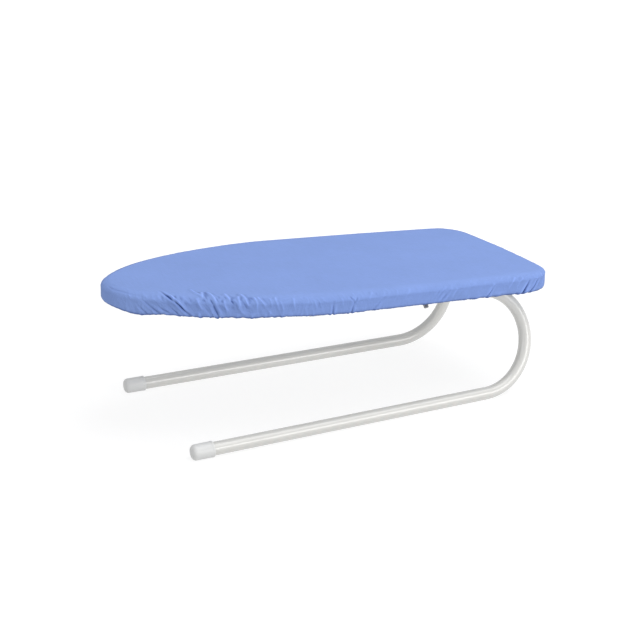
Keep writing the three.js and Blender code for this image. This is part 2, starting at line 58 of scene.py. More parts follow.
# Rim, mesh and pad, as heights from the top of the rim and offsets from its outer face
RIM_HEIGHT = 0.019
RIM_FLANGE = 0.009
RIM_CURL = 0.0045
RIM_SHEET = 0.0012
RIM_BEND = 0.0015
SHEET_EDGE_ROUND = 0.0003
MESH_TOP = -0.0015
MESH_THICKNESS = 0.001
MESH_INSET = 0.0015
MESH_BORDER = 0.0095
MESH_LONG_WAY = 0.026
MESH_SHORT_WAY = 0.011
MESH_STRAND = 0.0021
MESH_TWIST = 0.0002
TWIST_OFF_BORDER = 0.0008
MESH_FIELD_LENGTH = 0.66
MESH_FIELD_WIDTH = 0.32
PUNCH_DEPTH = 0.006
PUNCH_ROOM_LEVEL = -0.004
PUNCH_ROOM_DEPTH = 0.009
PAD_BOTTOM = 0.0003
PAD_FOOT = 0.0010
PAD_INSET = 0.0013
PAD_SPINE_FRONT_X = -0.22
PAD_SPINE_REAR_X = 0.24

# Cover: the way over it runs out on the top, round the edge, down the skirt, round the rim and under it
COVER_OUT = 0.0011
COVER_THICKNESS = 0.0005
TOP_FIELD_WAY = 0.015
EDGE_WAY = 0.026
SKIRT_WAY = 0.013
TURN_WAY = 0.0075
UNDER_WAY = 0.017
SKIRT_END = EDGE_WAY + SKIRT_WAY
TURN_END = SKIRT_END + TURN_WAY
HEM_END = TURN_END + UNDER_WAY
SKIRT_BULGE = 0.0005
RIM_BEND_BULGE = 0.00045
RIM_BEND_WAY = 0.0215
RIM_BEND_SPREAD = 0.005
NOSE_BULGE = 0.0012
NOSE_BULGE_SPREAD = 0.07
TURN_LEVEL = -0.015
TURN_WIDTH = 0.0046
HEM_LEVEL = -0.0201
HEM_LIFT = 0.0012
HEM_LIFT_WAYS = (0.043, 0.053)
HEM_FLAT_FROM = 0.55
HEM_FOLD_WIDTH = 0.008
HEM_FOLD_STEP = 0.001
HEM_FOLD_THICKNESS = 0.0008
CLOTH_OFF_RIM = 0.0002
THINNEST_CLOTH = 0.00015

# Stations and rings of the cover, close together where the camera sees the skirt
NEAR_STATION_STEP = 0.0009
FAR_STATION_STEP = 0.0030
STATIONS_PAST_NOSE = 0.06
RING_STEP = 0.00115
UNDER_RING_STEP = 0.0024
FLAT_TOP_WAY = 0.008
TOP_RING_STRIDE = 7
INNER_RING_STRIDE = 3
UNDER_RING_STRIDE = 2

# Painted shade on the cover in the hem's crease, on the far edge, on the skirt and in pleats, and a painted
# highlight on ridges
HEM_SHADE = 0.75
HEM_SHADE_WAY = 0.0395
FAR_EDGE_SHADE = 0.35
SKIRT_SHADE = 0.17
SKIRT_SHADE_WAYS = (0.004, 0.024)
SHADE_BLEND = 0.004
FLANK_START = (0.04, 0.12)
FLANK_END = (0.68, 0.80)
FOLD_SURROUNDINGS = 0.0035
PROUD_ON_TOP = 1.5
PROUD_LOSS = 0.7
PROUD_LOSS_WAY = 0.01
PLEAT_SHADE_START = 0.00016
PLEAT_SHADE_SPAN = 0.0008
RIDGE_HIGHLIGHT_HEIGHT = 0.0010
CREPE_WAYS = (-0.004, 0.018)

# Round of the top edge by distance from the nose tip: wide and soft on the near flank, tight elsewhere
EDGE_PLACES = (0, 0.06, 0.12, 0.42, 0.64, 0.72, 0.83)
NEAR_EDGE_WIDTHS = (0.012, 0.015, 0.022, 0.022, 0.018, 0.009, 0.007)
NEAR_EDGE_DROPS = (0.011, 0.0105, 0.010, 0.0095, 0.0085, 0.006, 0.005)
FAR_EDGE_WIDTHS = (0.012, 0.010, 0.007, 0.006, 0.006, 0.007, 0.007)
FAR_EDGE_DROPS = (0.011, 0.008, 0.005, 0.0045, 0.0045, 0.005, 0.005)

# Slack cloth that hangs below the rim beside the nose
SLACK_PLACE = 0.060
SLACK_SPREAD = 0.022
SLACK_DROP = 0.0042

# Pleats of the skirt on the near side, in millimetres: reach from the nose tip along the edge and way over
# it at both ends, depth of the groove, its half width and the height of the lips beside it
PLEATS = (
    (86, 18, 6, 12, 1.0, 1.4, 0.3),
    (54, 24, 82, 46, 0.6, 1.2, 0.5),
    (64, 19, 98, 44, 0.9, 1.4, 0.8),
    (76, -13, 140, 46, 1.1, 1.5, 1.2),
    (85, 27, 110, 42, 0.8, 1.3, 0.7),
    (98, 22, 124, 46, 0.7, 1.2, 0.6),
    (158, 8, 177, 53, 1.2, 1.5, 1.1),
    (328, 19, 329, 53, 2.0, 1.5, 1.0),
    (362, 25, 352, 53, 1.8, 1.5, 0.9),
    (352, 11, 360, 31, 0.7, 1.4, 0.7),
    (367, 14, 361, 30, 0.7, 1.4, 0.7),
    (417, 17, 387, 44, 0.6, 1.6, 0.6),
    (516, 12, 490, 40, 0.6, 1.7, 0.8),
    (506, 14, 484, 40, 0.4, 1.7, 0.7),
    (595, 19, 575, 46, 1.1, 1.6, 0.9),
    (658, 19, 635, 51, 2.4, 1.7, 1.8),
    (671, 24, 651, 46, 1.6, 1.5, 1.2),
)

# Narrow ridges between them, in the same way: both ends, height and half width
RIDGES = (
    (104, 6, 137, 43, 1.6, 1.9),
    (127, -17, 153, 15, 1.2, 1.7),
    (139, 12, 153, 35, 1.6, 1.7),
    (146, -6, 152, 15, 1.2, 1.6),
    (155, -8, 171, 26, 1.6, 1.7),
    (179, 14, 184, 40, 1.7, 1.7),
    (180, -2, 187, 18, 1.3, 1.6),
    (189, 12, 207, 40, 1.8, 1.7),
    (198, 5, 201, 32, 1.6, 1.6),
    (200, -3, 213, 30, 1.6, 1.7),
    (219, 6, 224, 38, 1.7, 1.6),
    (224, 6, 235, 32, 1.5, 1.6),
    (239, 8, 244, 34, 1.1, 1.6),
    (248, 7, 252, 35, 1.3, 1.6),
    (255, 15, 258, 36, 1.1, 1.5),
    (272, 10, 275, 36, 0.9, 1.6),
    (301, 14, 303, 36, 0.6, 1.6),
    (340, 16, 342, 34, 0.6, 1.5),
    (392, 8, 380, 32, 0.6, 1.6),
    (452, 8, 436, 34, 0.6, 1.7),
    (527, 20, 511, 40, 1.2, 1.7),
    (520, 20, 501, 44, 1.2, 1.7),
    (560, 12, 538, 36, 0.8, 1.8),
    (591, 20, 577, 42, 1.3, 1.6),
    (631, 12, 612, 37, 1.2, 1.7),
    (643, 14, 627, 40, 1.1, 1.7),
    (669, 20, 656, 42, 1.3, 1.6),
    (690, 14, 682, 40, 0.9, 1.6),
    (148, 34, 151, 56, 1.3, 3.0),
    (170, 36, 172, 56, 1.2, 2.6),
    (198, 36, 199, 56, 1.3, 3.0),
    (215, 36, 217, 56, 1.4, 3.0),
    (600, 36, 600, 56, 1.3, 5.0),
)

# Form of pleats and ridges: fades in shares of their length; sway, lips and drawn cloth in half widths
PLEAT_FADES = (0.7, 0.2)
PLEAT_SWAY = 0.3
PLEAT_SWAY_LENGTH = 0.007
PLEAT_DRAW = 0.3
PLEAT_DRAW_SPREAD = 1.6
LIP_PLACE = 2.0
LIP_SPREAD = 1.1
RIDGE_FADES = (0.2, 0.4)
RIDGE_SWAY = 0.6
RIDGE_SWAY_LENGTH = 0.006
FOLD_OVERRUN = 1.05
CREST_TOP = 0.45
CREST_SOFTNESS = 0.2

# How strongly the elastic gathers the hem and how far the gathers lean, by distance from the nose tip
GATHER_PLACES = (0, 0.06, 0.10, 0.17, 0.27, 0.34, 0.48, 0.60, 0.65, 0.72, 0.83)
GATHER_STRENGTHS = (0.2, 0.4, 0.8, 1.0, 0.8, 0.6, 0.6, 0.8, 1.0, 0.9, 0.6)
GATHER_LEANS = (0, 0.014, 0.018, 0.012, 0.004, 0, -0.020, -0.030, -0.022, 0, 0)
GATHER_HEIGHT = 0.0011
GATHER_SPACING = (0.006, 0.013)
GATHER_WIDTHS = (0.0014, 0.0030)
GATHER_SWAYS = (0.2, 0.6)
GATHER_SWAY_LENGTHS = (0.005, 0.009)
GATHER_HEIGHT_SHARES = (0.35, 1.0)
GATHER_LEAN_SHARES = (0.7, 1.3)
GATHER_FADES = (0.35, 0.7)
GATHER_PAST_HEM = 0.004
NEAR_GATHER_TOPS = (0.026, 0.040)
FAR_GATHER_TOP = 0.012
FAR_GATHER_WIDENING = 1.8

# Fine creases between the folds, each size as reach, way and share of the height
CRUMPLE_HEIGHT = 0.00055
CRUMPLE_SIZES = ((0.0042, 0.009, 1.1), (0.0022, 0.006, 1.0), (0.0014, 0.0035, 0.5))
CRUMPLE_WAYS = (0.002, 0.020)
CRUMPLE_LEAN_WAY = 0.03
CRUMPLE_LEAST = 0.25
CREASE_DEPTH = 1.2
PATCH_SIZE = (0.014, 0.008)
PATCH_LEAST = 0.35

# How deep folds may press in, on the pad and on the rim, and the seed of the random ones
FOLD_DEPTH_ON_PAD = 0.0007
FOLD_DEPTH_ON_RIM = 0.0004
PAD_TO_RIM_WAYS = (0.012, 0.024)
FOLD_SEED = 11

# Elastic in the hem and the stitches that hold it
ELASTIC_WIDTH = 0.005
ELASTIC_THICKNESS = 0.001
ELASTIC_INSET = 0.0015
ELASTIC_ROUND = 0.0004
ELASTIC_GAP = 0.0001
STITCH_LENGTH = 0.0032
STITCH_RADIUS = 0.00025
STITCH_PITCH = 0.0026
STITCH_SLANT_DEG = 38
STITCH_SINK = 0.3

# Legs
TUBE_RADIUS = 0.0094
TUBE_WALL = 0.0012
HINGE_LEVEL = -0.026325
LEG_SPLAY_DEG = 12.8
LEG_OPENING_DEG = 2.85
LEG_BEND_RADIUS = 0.0767
LEG_BEND_X = 0.2198
TOP_RUN_FRONT_X = -0.0755
RUNNER_LENGTH = 0.4723
CAP_LENGTH = 0.031
CAP_OUTER = 0.0113
CAP_BORE = 0.0097
CAP_END = 0.0028
CAP_END_ROUND = 0.0058
CAP_LIP_LENGTH = 0.003
CAP_LIP_STEP = 0.0003
CAP_LIP_FOOT = 0.0006
CAP_LIP_FOOT_ROUND = 0.0005
CAP_LIP_RISE = 0.0003
CAP_MOUTH_ROUND = 0.0006
CAP_TAPER = 0.00005
PLUG_LENGTH = 0.015
PLUG_FLANGE = 0.0024
PLUG_STEM = 0.0078
PLUG_WALL = 0.002
PLUG_ROUND = 0.0009
PLUG_CHAMFER = 0.0002
PLUG_TAPER = 0.0004
SEAT_GAP = 0.0003

# Rivets
RIVET_RADIUS = 0.002
RIVET_HEAD_RADIUS = 0.004
RIVET_HEAD_HEIGHT = 0.0022
RIVET_TAIL_RADIUS = 0.0032
RIVET_TAIL_HEIGHT = 0.0014
RIVET_CROWN = 0.0001
RIVET_HEAD_CROWN_WIDTH = 0.45
RIVET_TAIL_CROWN_WIDTH = 0.7

# Form of a rivet's head and of its tail, as shares of their radius and height
RIVET_HEAD_FORM = ((0.8, 0.32), (1, 0.8), (0.97, 1))
RIVET_TAIL_FORM = ((0.95, 0), (1, 0.4))

# Fineness of the meshes: stations round the deck, rings, sides and the angles of edges that stay sharp
OUTLINE_STEPS = 24
PAD_STATIONS = 400
PAD_EDGE_RINGS = 9
PAD_FACE_RINGS = 4
RIM_STATIONS = 420
ELASTIC_STATIONS = 900
SEAM_STATIONS = 1400
SHEET_EDGE_STATIONS = 360
LEG_BEND_STEPS = 45
TUBE_SIDES = 48
CAP_SIDES = 64
RIVET_SIDES = 28
STITCH_SIDES = 6
CREASE_DEG = 40
RIVET_CREASE_DEG = 50
SOFTENED_CREASE_DEG = 38
HARD_EDGE_DEG = 35
FLAT_WITHIN_DEG = 2

# Lengths and a direction that the meshes are worked out with
MILLIMETRE = 0.001
SHORTEST_CHORD = 0.001
OUTLINE_PROBE = 0.002
SECTION_PROBE = 0.0006
MERGE_DISTANCE = 1e-6
SLIVER_LENGTH = 1e-7
SPOKE_START = (0.31, 0.87, 0.38)


# The deck's own frame: x from the nose to the rear, y across, z up from the top of the rim
def node_points(node):
    vertices = frame["nodes"][node].data.vertices
    points = np.empty(len(vertices) * 3, np.float32)
    vertices.foreach_get("co", points)
    return points.reshape(-1, 3).astype(float)


fold_axis = np.array(next(joint["axis"] for joint in frame["joints"] if joint["name"] == "right_leg_fold"))
DECK_ALONG = fold_axis / np.linalg.norm(fold_axis)
DECK_ACROSS = np.array((0.0, 1.0, 0.0))
DECK_UP = np.cross(DECK_ALONG, DECK_ACROSS)
rim_points = node_points("rim_frame")
rim_along = rim_points @ DECK_ALONG
rim_middle = (rim_along.min() + rim_along.max()) / 2
DECK_ORIGIN = DECK_ALONG * rim_middle + DECK_UP * (rim_points @ DECK_UP).max()
DECK_AXES = Matrix((DECK_ALONG, DECK_ACROSS, DECK_UP)).transposed()
DECK_MATRIX = Matrix.Translation(DECK_ORIGIN) @ DECK_AXES.to_4x4()


def in_deck_frame(points):
    from_origin = np.asarray(points, float) - DECK_ORIGIN
    return np.stack([from_origin @ DECK_ALONG, from_origin @ DECK_ACROSS, from_origin @ DECK_UP], -1)


mounts = {mount["name"]: mount for mount in frame["record"]["mounts"]}
COVER_TOP = in_deck_frame(mounts["ironing_surface"]["pos_m"])[2]
HINGE_Y = abs(frame["joints"][0]["pos_m"][1])


# Outline of the rim as a smooth closed curve, from the nose tip along the near side and round
def smooth_ring(ring, steps):
    before = np.roll(ring, 1, 0)
    after = np.roll(ring, -1, 0)
    later = np.roll(ring, -2, 0)
    t = np.linspace(0, 1, steps, endpoint=False)[None, :, None]
    ring, before, after, later = (points[:, None, :] for points in (ring, before, after, later))
    curve = 2 * ring + (after - before) * t
    curve = curve + (2 * before - 5 * ring + 4 * after - later) * t ** 2
    curve = curve + (3 * ring - before - 3 * after + later) * t ** 3
    return (curve / 2).reshape(-1, 2)


def rim_outline():
    flat = in_deck_frame(rim_points)[:, :2]
    ring = flat[convex_hull_2d([Vector(point) for point in flat])]
    ring = ring[np.linalg.norm(ring - np.roll(ring, 1, 0), axis=1) > SHORTEST_CHORD]
    ring = np.roll(ring, -int(ring[:, 0].argmin()), 0)
    if ring[len(ring) // 4, 1] > 0:
        ring = np.roll(ring[::-1], 1, 0)
    mirrored = np.roll(ring[::-1], 1, 0) * (1, -1)
    return smooth_ring((ring + mirrored) / 2, OUTLINE_STEPS)


outline = rim_outline()
outline_closed = np.vstack([outline, outline[:1]])
outline_reach = np.r_[0, np.cumsum(np.linalg.norm(np.diff(outline_closed, axis=0), axis=1))]
PERIMETER = outline_reach[-1]


def outline_point(reach):
    wrapped = np.mod(reach, PERIMETER)
    x = np.interp(wrapped, outline_reach, outline_closed[:, 0])
    y = np.interp(wrapped, outline_reach, outline_closed[:, 1])
    return np.stack([x, y], -1)


def outline_outward(reach):
    tangent = outline_point(reach + OUTLINE_PROBE) - outline_point(reach - OUTLINE_PROBE)
    tangent = tangent / np.linalg.norm(tangent, axis=-1, keepdims=True)
    return np.stack([tangent[..., 1], -tangent[..., 0]], -1)


def beside_rim(reach, offset, height):
    offset = np.broadcast_to(offset, np.shape(reach))
    flat = outline_point(reach) + outline_outward(reach) * offset[..., None]
    return np.concatenate([flat, np.broadcast_to(height, flat.shape[:-1])[..., None]], -1)


def even_reach(count):
    return np.linspace(0, PERIMETER, count, endpoint=False)


def from_nose(reach):
    """Distance from the nose tip along the shorter way round."""
    wrapped = np.mod(reach, PERIMETER)
    return np.minimum(wrapped, PERIMETER - wrapped)


def on_near_side(reach):
    return np.mod(reach, PERIMETER) < PERIMETER / 2


def smoothstep(value):
    t = np.clip(value, 0, 1)
    return t * t * (3 - 2 * t)


def ramp(value, start, end):
    """0 up to the start and 1 from the end on, smooth between them."""
    return smoothstep((value - start) / (end - start))


def within(value, start, end, blend):
    """1 on a stretch and 0 beside it, blended at both ends."""
    return ramp(value, start, start + blend) * (1 - ramp(value, end, end + blend))


# Meshes
def grid_faces(rows, columns, looped):
    row = np.arange(rows if looped else rows - 1)[:, None] * columns
    next_row = np.roll(np.arange(rows) * columns, -1)[: len(row), None]
    column = np.arange(columns)[None, :]
    next_column = np.roll(np.arange(columns), -1)[None, :]
    corners = (row + column, row + next_column, next_row + next_column, next_row + column)
    return np.stack(np.broadcast_arrays(*corners), -1).reshape(-1, 4)


def ring_mesh(name, rings, looped=False, ends=False, places=None, marks=None, crease_deg=180):
    """A closed mesh from rings of points; rings that shrink to a line or a point are merged there.

    With looped the last ring joins the first, with ends both end rings get a face. Places are flat
    coordinates of the points, marks are named values at them. Edges bent more than the crease stay sharp.
    """
    columns = len(rings[0])
    form = bmesh.new()
    mark_layers = {mark: form.verts.layers.float.new(mark) for mark in marks or {}}
    place_layer = form.loops.layers.uv.new("places") if places is not None else None
    corners = [form.verts.new(point) for point in np.concatenate(rings).tolist()]
    for mark, layer in mark_layers.items():
        for corner, value in zip(corners, np.concatenate(marks[mark]).tolist()):
            corner[layer] = value
    faces = grid_faces(len(rings), columns, looped).tolist()
    if ends:
        last = (len(rings) - 1) * columns
        faces += [list(range(columns))[::-1], list(range(last, last + columns))]
    spots = None if places is None else np.concatenate(places).tolist()
    for face in faces:
        made = form.faces.new([corners[i] for i in face])
        if place_layer:
            for loop, i in zip(made.loops, face):
                loop[place_layer].uv = spots[i]
    bmesh.ops.remove_doubles(form, verts=form.verts, dist=MERGE_DISTANCE)
    bmesh.ops.dissolve_degenerate(form, edges=form.edges, dist=SLIVER_LENGTH)
    if form.calc_volume(signed=True) < 0:
        bmesh.ops.reverse_faces(form, faces=form.faces)
    mesh = bpy.data.meshes.new(name)
    form.to_mesh(mesh)
    form.free()
    mesh.shade_smooth()
    mesh.set_sharp_from_angle(angle=math.radians(crease_deg))
    return mesh


def add_piece(mesh, name, body, finish, replaced=()):
    """Takes a mesh from the deck's frame to the part's and lets it ride on its body."""
    mesh.transform(DECK_MATRIX)
    mesh.name = name
    mesh.materials.clear()
    mesh.materials.append(finish)
    piece = bpy.data.objects.new(name, mesh)
    bpy.context.scene.collection.objects.link(piece)
    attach(piece, body)
    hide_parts(*replaced)
    return piece


def rings_between(first, last, count):
    return [first + (last - first) * t for t in np.linspace(0, 1, count + 1, endpoint=False)[1:]]


# Section of the cover
def edge_rounds(reach):
    """Width and drop of the rounded top edge at each station."""
    distance = from_nose(reach)
    near = on_near_side(reach)
    near_width = np.interp(distance, EDGE_PLACES, NEAR_EDGE_WIDTHS)
    far_width = np.interp(distance, EDGE_PLACES, FAR_EDGE_WIDTHS)
    near_drop = np.interp(distance, EDGE_PLACES, NEAR_EDGE_DROPS)
    far_drop = np.interp(distance, EDGE_PLACES, FAR_EDGE_DROPS)
    return np.where(near, near_width, far_width), np.where(near, near_drop, far_drop)


def hem_slack(reach):
    return SLACK_DROP * np.exp(-((from_nose(reach) - SLACK_PLACE) / SLACK_SPREAD) ** 2)


def cover_section(reach, way):
    """Offset and height of the plain cover, before its folds."""
    width, drop = edge_rounds(reach)
    edge = np.clip(way / EDGE_WAY, 0, 1) * math.pi / 2
    skirt = np.clip((way - EDGE_WAY) / SKIRT_WAY, 0, 1)
    turn = np.clip((way - SKIRT_END) / TURN_WAY, 0, 1) * math.pi / 2
    under = np.maximum(way - TURN_END, 0)
    offset = COVER_OUT - width * (1 - np.sin(edge)) + np.minimum(way, 0)
    offset = offset + SKIRT_BULGE * skirt - TURN_WIDTH * (1 - np.cos(turn)) - under
    offset = offset + RIM_BEND_BULGE * np.exp(-((way - RIM_BEND_WAY) / RIM_BEND_SPREAD) ** 2)
    nose = NOSE_BULGE * np.exp(-(from_nose(reach) / NOSE_BULGE_SPREAD) ** 2)
    offset = offset + nose * np.sin(math.pi * np.clip(way / TURN_END, 0, 1))
    height = COVER_TOP - drop * (1 - np.cos(edge)) + (TURN_LEVEL - COVER_TOP + drop) * skirt
    height = height + (HEM_LEVEL - TURN_LEVEL) * np.sin(turn)
    hang = ramp(way, EDGE_WAY, TURN_END) * (1 - smoothstep(under / UNDER_WAY))
    return offset, height - hem_slack(reach) * hang


def rim_room(reach, way):
    """How far the plain cover may be pressed in before it meets the rim's wall, its bends or its curl."""
    offset, height = cover_section(reach, way)
    past_bend = np.maximum(np.maximum(RIM_BEND - RIM_HEIGHT - height, height + RIM_BEND), 0)
    beside_wall = np.hypot(np.maximum(offset + RIM_BEND, 0), past_bend) - RIM_BEND
    past_curl = np.hypot(RIM_CURL + offset, np.maximum(-RIM_HEIGHT - height, 0))
    under_curl = (offset < -RIM_CURL) & (height < -RIM_HEIGHT / 2)
    return np.where(under_curl, past_curl, beside_wall) - CLOTH_OFF_RIM


def section_outward(reach, way):
    offset_before, height_before = cover_section(reach, way - SECTION_PROBE)
    offset_after, height_after = cover_section(reach, way + SECTION_PROBE)
    out = offset_after - offset_before
    rise = height_after - height_before
    size = np.hypot(out, rise)
    return -rise / size, out / size


# Folds of the cover
def along_fold(reach, way, start, end):
    """Distance along a straight fold and across it, and its length."""
    run = np.array(end) - np.array(start)
    length = float(np.hypot(*run))
    east, north = run / length
    right = np.mod(reach - start[0] + PERIMETER / 2, PERIMETER) - PERIMETER / 2
    down = way - start[1]
    return right * east + down * north, down * east - right * north, length


def along_listed_fold(reach, way, ends):
    """The same for a fold from the lists, whose ends are in millimetres."""
    top_reach, top_way, foot_reach, foot_way = (size * MILLIMETRE for size in ends)
    return along_fold(reach, way, (top_reach, top_way), (foot_reach, foot_way))


def crest(distance, width):
    """A ridge with a narrow back, about 1 high."""
    return np.exp(CREST_TOP - np.sqrt((distance / width) ** 2 + CREST_SOFTNESS))


def fold_fade(along, length, rise, fall):
    return smoothstep(along / (rise * length)) * smoothstep((length * FOLD_OVERRUN - along) / (fall * length))


def add_pleats(reach, way, lift, sideways):
    """Grooves between two lips, with the cloth beside them drawn in."""
    for *ends, groove, half_width, lip in PLEATS:
        along, across, length = along_listed_fold(reach, way, ends)
        fade = fold_fade(along, length, *PLEAT_FADES)
        width = half_width * MILLIMETRE
        across = across + PLEAT_SWAY * width * np.sin(along / PLEAT_SWAY_LENGTH + ends[0])
        lips = crest(np.abs(across) - LIP_PLACE * width, LIP_SPREAD * width)
        lift += fade * MILLIMETRE * (lip * lips - groove * np.exp(-(across / width) ** 2))
        sideways += fade * PLEAT_DRAW * across * np.exp(-(across / (PLEAT_DRAW_SPREAD * width)) ** 2)


def add_ridges(reach, way, lift):
    for *ends, height, half_width in RIDGES:
        along, across, length = along_listed_fold(reach, way, ends)
        width = half_width * MILLIMETRE
        across = across + RIDGE_SWAY * width * np.sin(along / RIDGE_SWAY_LENGTH + ends[0])
        lift += fold_fade(along, length, *RIDGE_FADES) * MILLIMETRE * height * crest(across, width)


def add_gathers(reach, way, lift):
    """Gathers that the elastic makes all round, short where the near side has folds of its own."""
    chance = np.random.default_rng(FOLD_SEED)
    place = 0.0
    while place < PERIMETER:
        near = bool(on_near_side(place))
        strength = np.interp(from_nose(place), GATHER_PLACES, GATHER_STRENGTHS)
        lean = np.interp(from_nose(place), GATHER_PLACES, GATHER_LEANS) * (1 if near else -1)
        top_way = chance.uniform(*NEAR_GATHER_TOPS) if near else FAR_GATHER_TOP
        start = (place - lean * chance.uniform(*GATHER_LEAN_SHARES), top_way)
        along, across, length = along_fold(reach, way, start, (place, HEM_END + GATHER_PAST_HEM))
        width = chance.uniform(*GATHER_WIDTHS) * (1 if near else FAR_GATHER_WIDENING)
        sway = np.sin(along / chance.uniform(*GATHER_SWAY_LENGTHS) + place)
        across = across + chance.uniform(*GATHER_SWAYS) * width * sway
        height = GATHER_HEIGHT * strength * chance.uniform(*GATHER_HEIGHT_SHARES)
        fade = smoothstep(along / (chance.uniform(*GATHER_FADES) * length))
        lift += height * fade * crest(across, width)
        place += chance.uniform(*GATHER_SPACING)


NOISE_CELL = 0.001
NOISE_COLUMNS = round(PERIMETER / NOISE_CELL)
NOISE_ROWS = 96


def soft_noise(chance, reach_size, way_size):
    """A smooth random field of unit spread on a grid of cells, round the deck by over its edge."""
    rough = chance.standard_normal((NOISE_ROWS, NOISE_COLUMNS))
    round_it = np.exp(-2 * (math.pi * np.fft.fftfreq(NOISE_COLUMNS) * reach_size / NOISE_CELL) ** 2)
    over_it = np.exp(-2 * (math.pi * np.fft.fftfreq(NOISE_ROWS) * way_size / NOISE_CELL) ** 2)
    smooth = np.fft.ifft2(np.fft.fft2(rough) * over_it[:, None] * round_it[None, :]).real
    return smooth / smooth.std()


def read_noise(field, reach, way):
    column, row = np.broadcast_arrays(reach / NOISE_CELL, (way + TOP_FIELD_WAY) / NOISE_CELL)
    left = np.floor(column).astype(int)
    low = np.floor(row).astype(int)
    across = column - left
    up = row - low
    right = (left + 1) % NOISE_COLUMNS
    high = (low + 1) % NOISE_ROWS
    left = left % NOISE_COLUMNS
    low = low % NOISE_ROWS
    lower = field[low, left] * (1 - across) + field[low, right] * across
    upper = field[high, left] * (1 - across) + field[high, right] * across
    return lower * (1 - up) + upper * up


def add_crumple(reach, way, lift):
    """Fine creases all over the skirt that lean with the gathers and fade out on the top."""
    chance = np.random.default_rng(FOLD_SEED + 1)
    sides = np.where(on_near_side(reach), 1, -1)
    lean = np.interp(from_nose(reach), GATHER_PLACES, GATHER_LEANS) * sides
    leaned = reach - lean * (way - EDGE_WAY) / CRUMPLE_LEAN_WAY
    gathered = np.interp(from_nose(reach), GATHER_PLACES, GATHER_STRENGTHS)
    strength = CRUMPLE_LEAST + (1 - CRUMPLE_LEAST) * gathered
    skirt = ramp(way, *CRUMPLE_WAYS)
    patches = smoothstep(0.5 + 0.5 * read_noise(soft_noise(chance, *PATCH_SIZE), reach, way))
    patchy = PATCH_LEAST + (1 - PATCH_LEAST) * patches
    for reach_size, way_size, share in CRUMPLE_SIZES:
        field = read_noise(soft_noise(chance, reach_size, way_size), leaned, way)
        creases = 1 - np.minimum(np.abs(field), CREASE_DEPTH)
        lift += CRUMPLE_HEIGHT * share * strength * skirt * patchy * creases


def cover_folds(reach, way):
    """How far each point of the cover stands out, and how far it is drawn along the edge."""
    lift = np.zeros(np.broadcast(reach, way).shape)
    sideways = np.zeros_like(lift)
    add_pleats(reach, way, lift, sideways)
    add_ridges(reach, way, lift)
    add_gathers(reach, way, lift)
    add_crumple(reach, way, lift)
    deepest = FOLD_DEPTH_ON_PAD + (FOLD_DEPTH_ON_RIM - FOLD_DEPTH_ON_PAD) * ramp(way, *PAD_TO_RIM_WAYS)
    lift = np.where(lift < 0, -deepest * (1 - np.exp(lift / deepest)), lift)
    turned = ramp(way, *HEM_LIFT_WAYS)
    lift = lift - HEM_LIFT * turned
    lift = np.where(turned > HEM_FLAT_FROM, np.clip(lift, -HEM_LIFT, 0), lift)
    return np.maximum(lift, THINNEST_CLOTH - rim_room(reach, way)), sideways


def stands_out(reach, lift):
    """How far each point of the cover stands out from its surroundings along the edge."""
    even = even_reach(2 * len(reach))
    turns = np.fft.rfftfreq(len(even), d=PERIMETER / len(even))
    blur = np.exp(-2 * (math.pi * turns * FOLD_SURROUNDINGS) ** 2)
    proud = np.empty_like(lift)
    for row, heights in enumerate(lift):
        level = np.interp(even, reach, heights, period=PERIMETER)
        around_it = np.fft.irfft(np.fft.rfft(level) * blur, n=len(even))
        proud[row] = heights - np.interp(reach, even, around_it, period=PERIMETER)
    return proud


def cover_stations():
    """Stations along the edge, close together where the camera sees the skirt."""
    near_start = -STATIONS_PAST_NOSE
    near_end = PERIMETER / 2 - STATIONS_PAST_NOSE
    near = np.arange(near_start, near_end, NEAR_STATION_STEP)
    far_count = round((PERIMETER - near_end + near_start) / FAR_STATION_STEP)
    far = np.linspace(near[-1] + NEAR_STATION_STEP, near_start + PERIMETER, far_count, endpoint=False)
    return np.mod(np.r_[near, far], PERIMETER)


def cover_ways():
    """Ways over the edge at which the cover has a ring of points."""
    over_count = round((TURN_END + TOP_FIELD_WAY) / RING_STEP)
    over = np.linspace(-TOP_FIELD_WAY, TURN_END, over_count, endpoint=False)
    under = np.linspace(TURN_END, HEM_END, round(UNDER_WAY / UNDER_RING_STEP))
    return np.r_[over, under]


cover_reach = cover_stations()
cover_way = cover_ways()
cover_lift, cover_sideways = cover_folds(cover_reach[None, :], cover_way[:, None])


def cover_ring(row, lift):
    way = cover_way[row]
    offset, height = cover_section(cover_reach, way)
    out, up = section_outward(cover_reach, way)
    return beside_rim(cover_reach + cover_sideways[row], offset + out * lift, height + up * lift)


def inner_rows():
    """Rows with an inner ring, from the hem up: each one round the rim's lower bend, fewer elsewhere."""
    top_end, bend_start, bend_end = np.searchsorted(cover_way, (FLAT_TOP_WAY, SKIRT_END, TURN_END)).tolist()
    under = range(len(cover_way) - 1, bend_end, -UNDER_RING_STRIDE)
    bend = range(bend_end, bend_start, -1)
    skirt = range(bend_start, top_end, -INNER_RING_STRIDE)
    top = range(top_end, 0, -TOP_RING_STRIDE)
    return [*under, *bend, *skirt, *top, 0]


def inner_lift(rows, place, thickness):
    """The inner face keeps below every fold between one of its rings and the next, and off the rim."""
    first = rows[min(place + 1, len(rows) - 1)]
    last = rows[max(place - 1, 0)]
    pressed = cover_lift[first:last + 1].min(0) - thickness
    return np.maximum(pressed, -rim_room(cover_reach, cover_way[rows[place]]))


def flat_cut(way):
    """Where a ring of the cover lay on the flat cloth before it was drawn over the edge."""
    width, _ = edge_rounds(cover_reach)
    return outline_point(cover_reach) + outline_outward(cover_reach) * (COVER_OUT - width + way)[:, None]


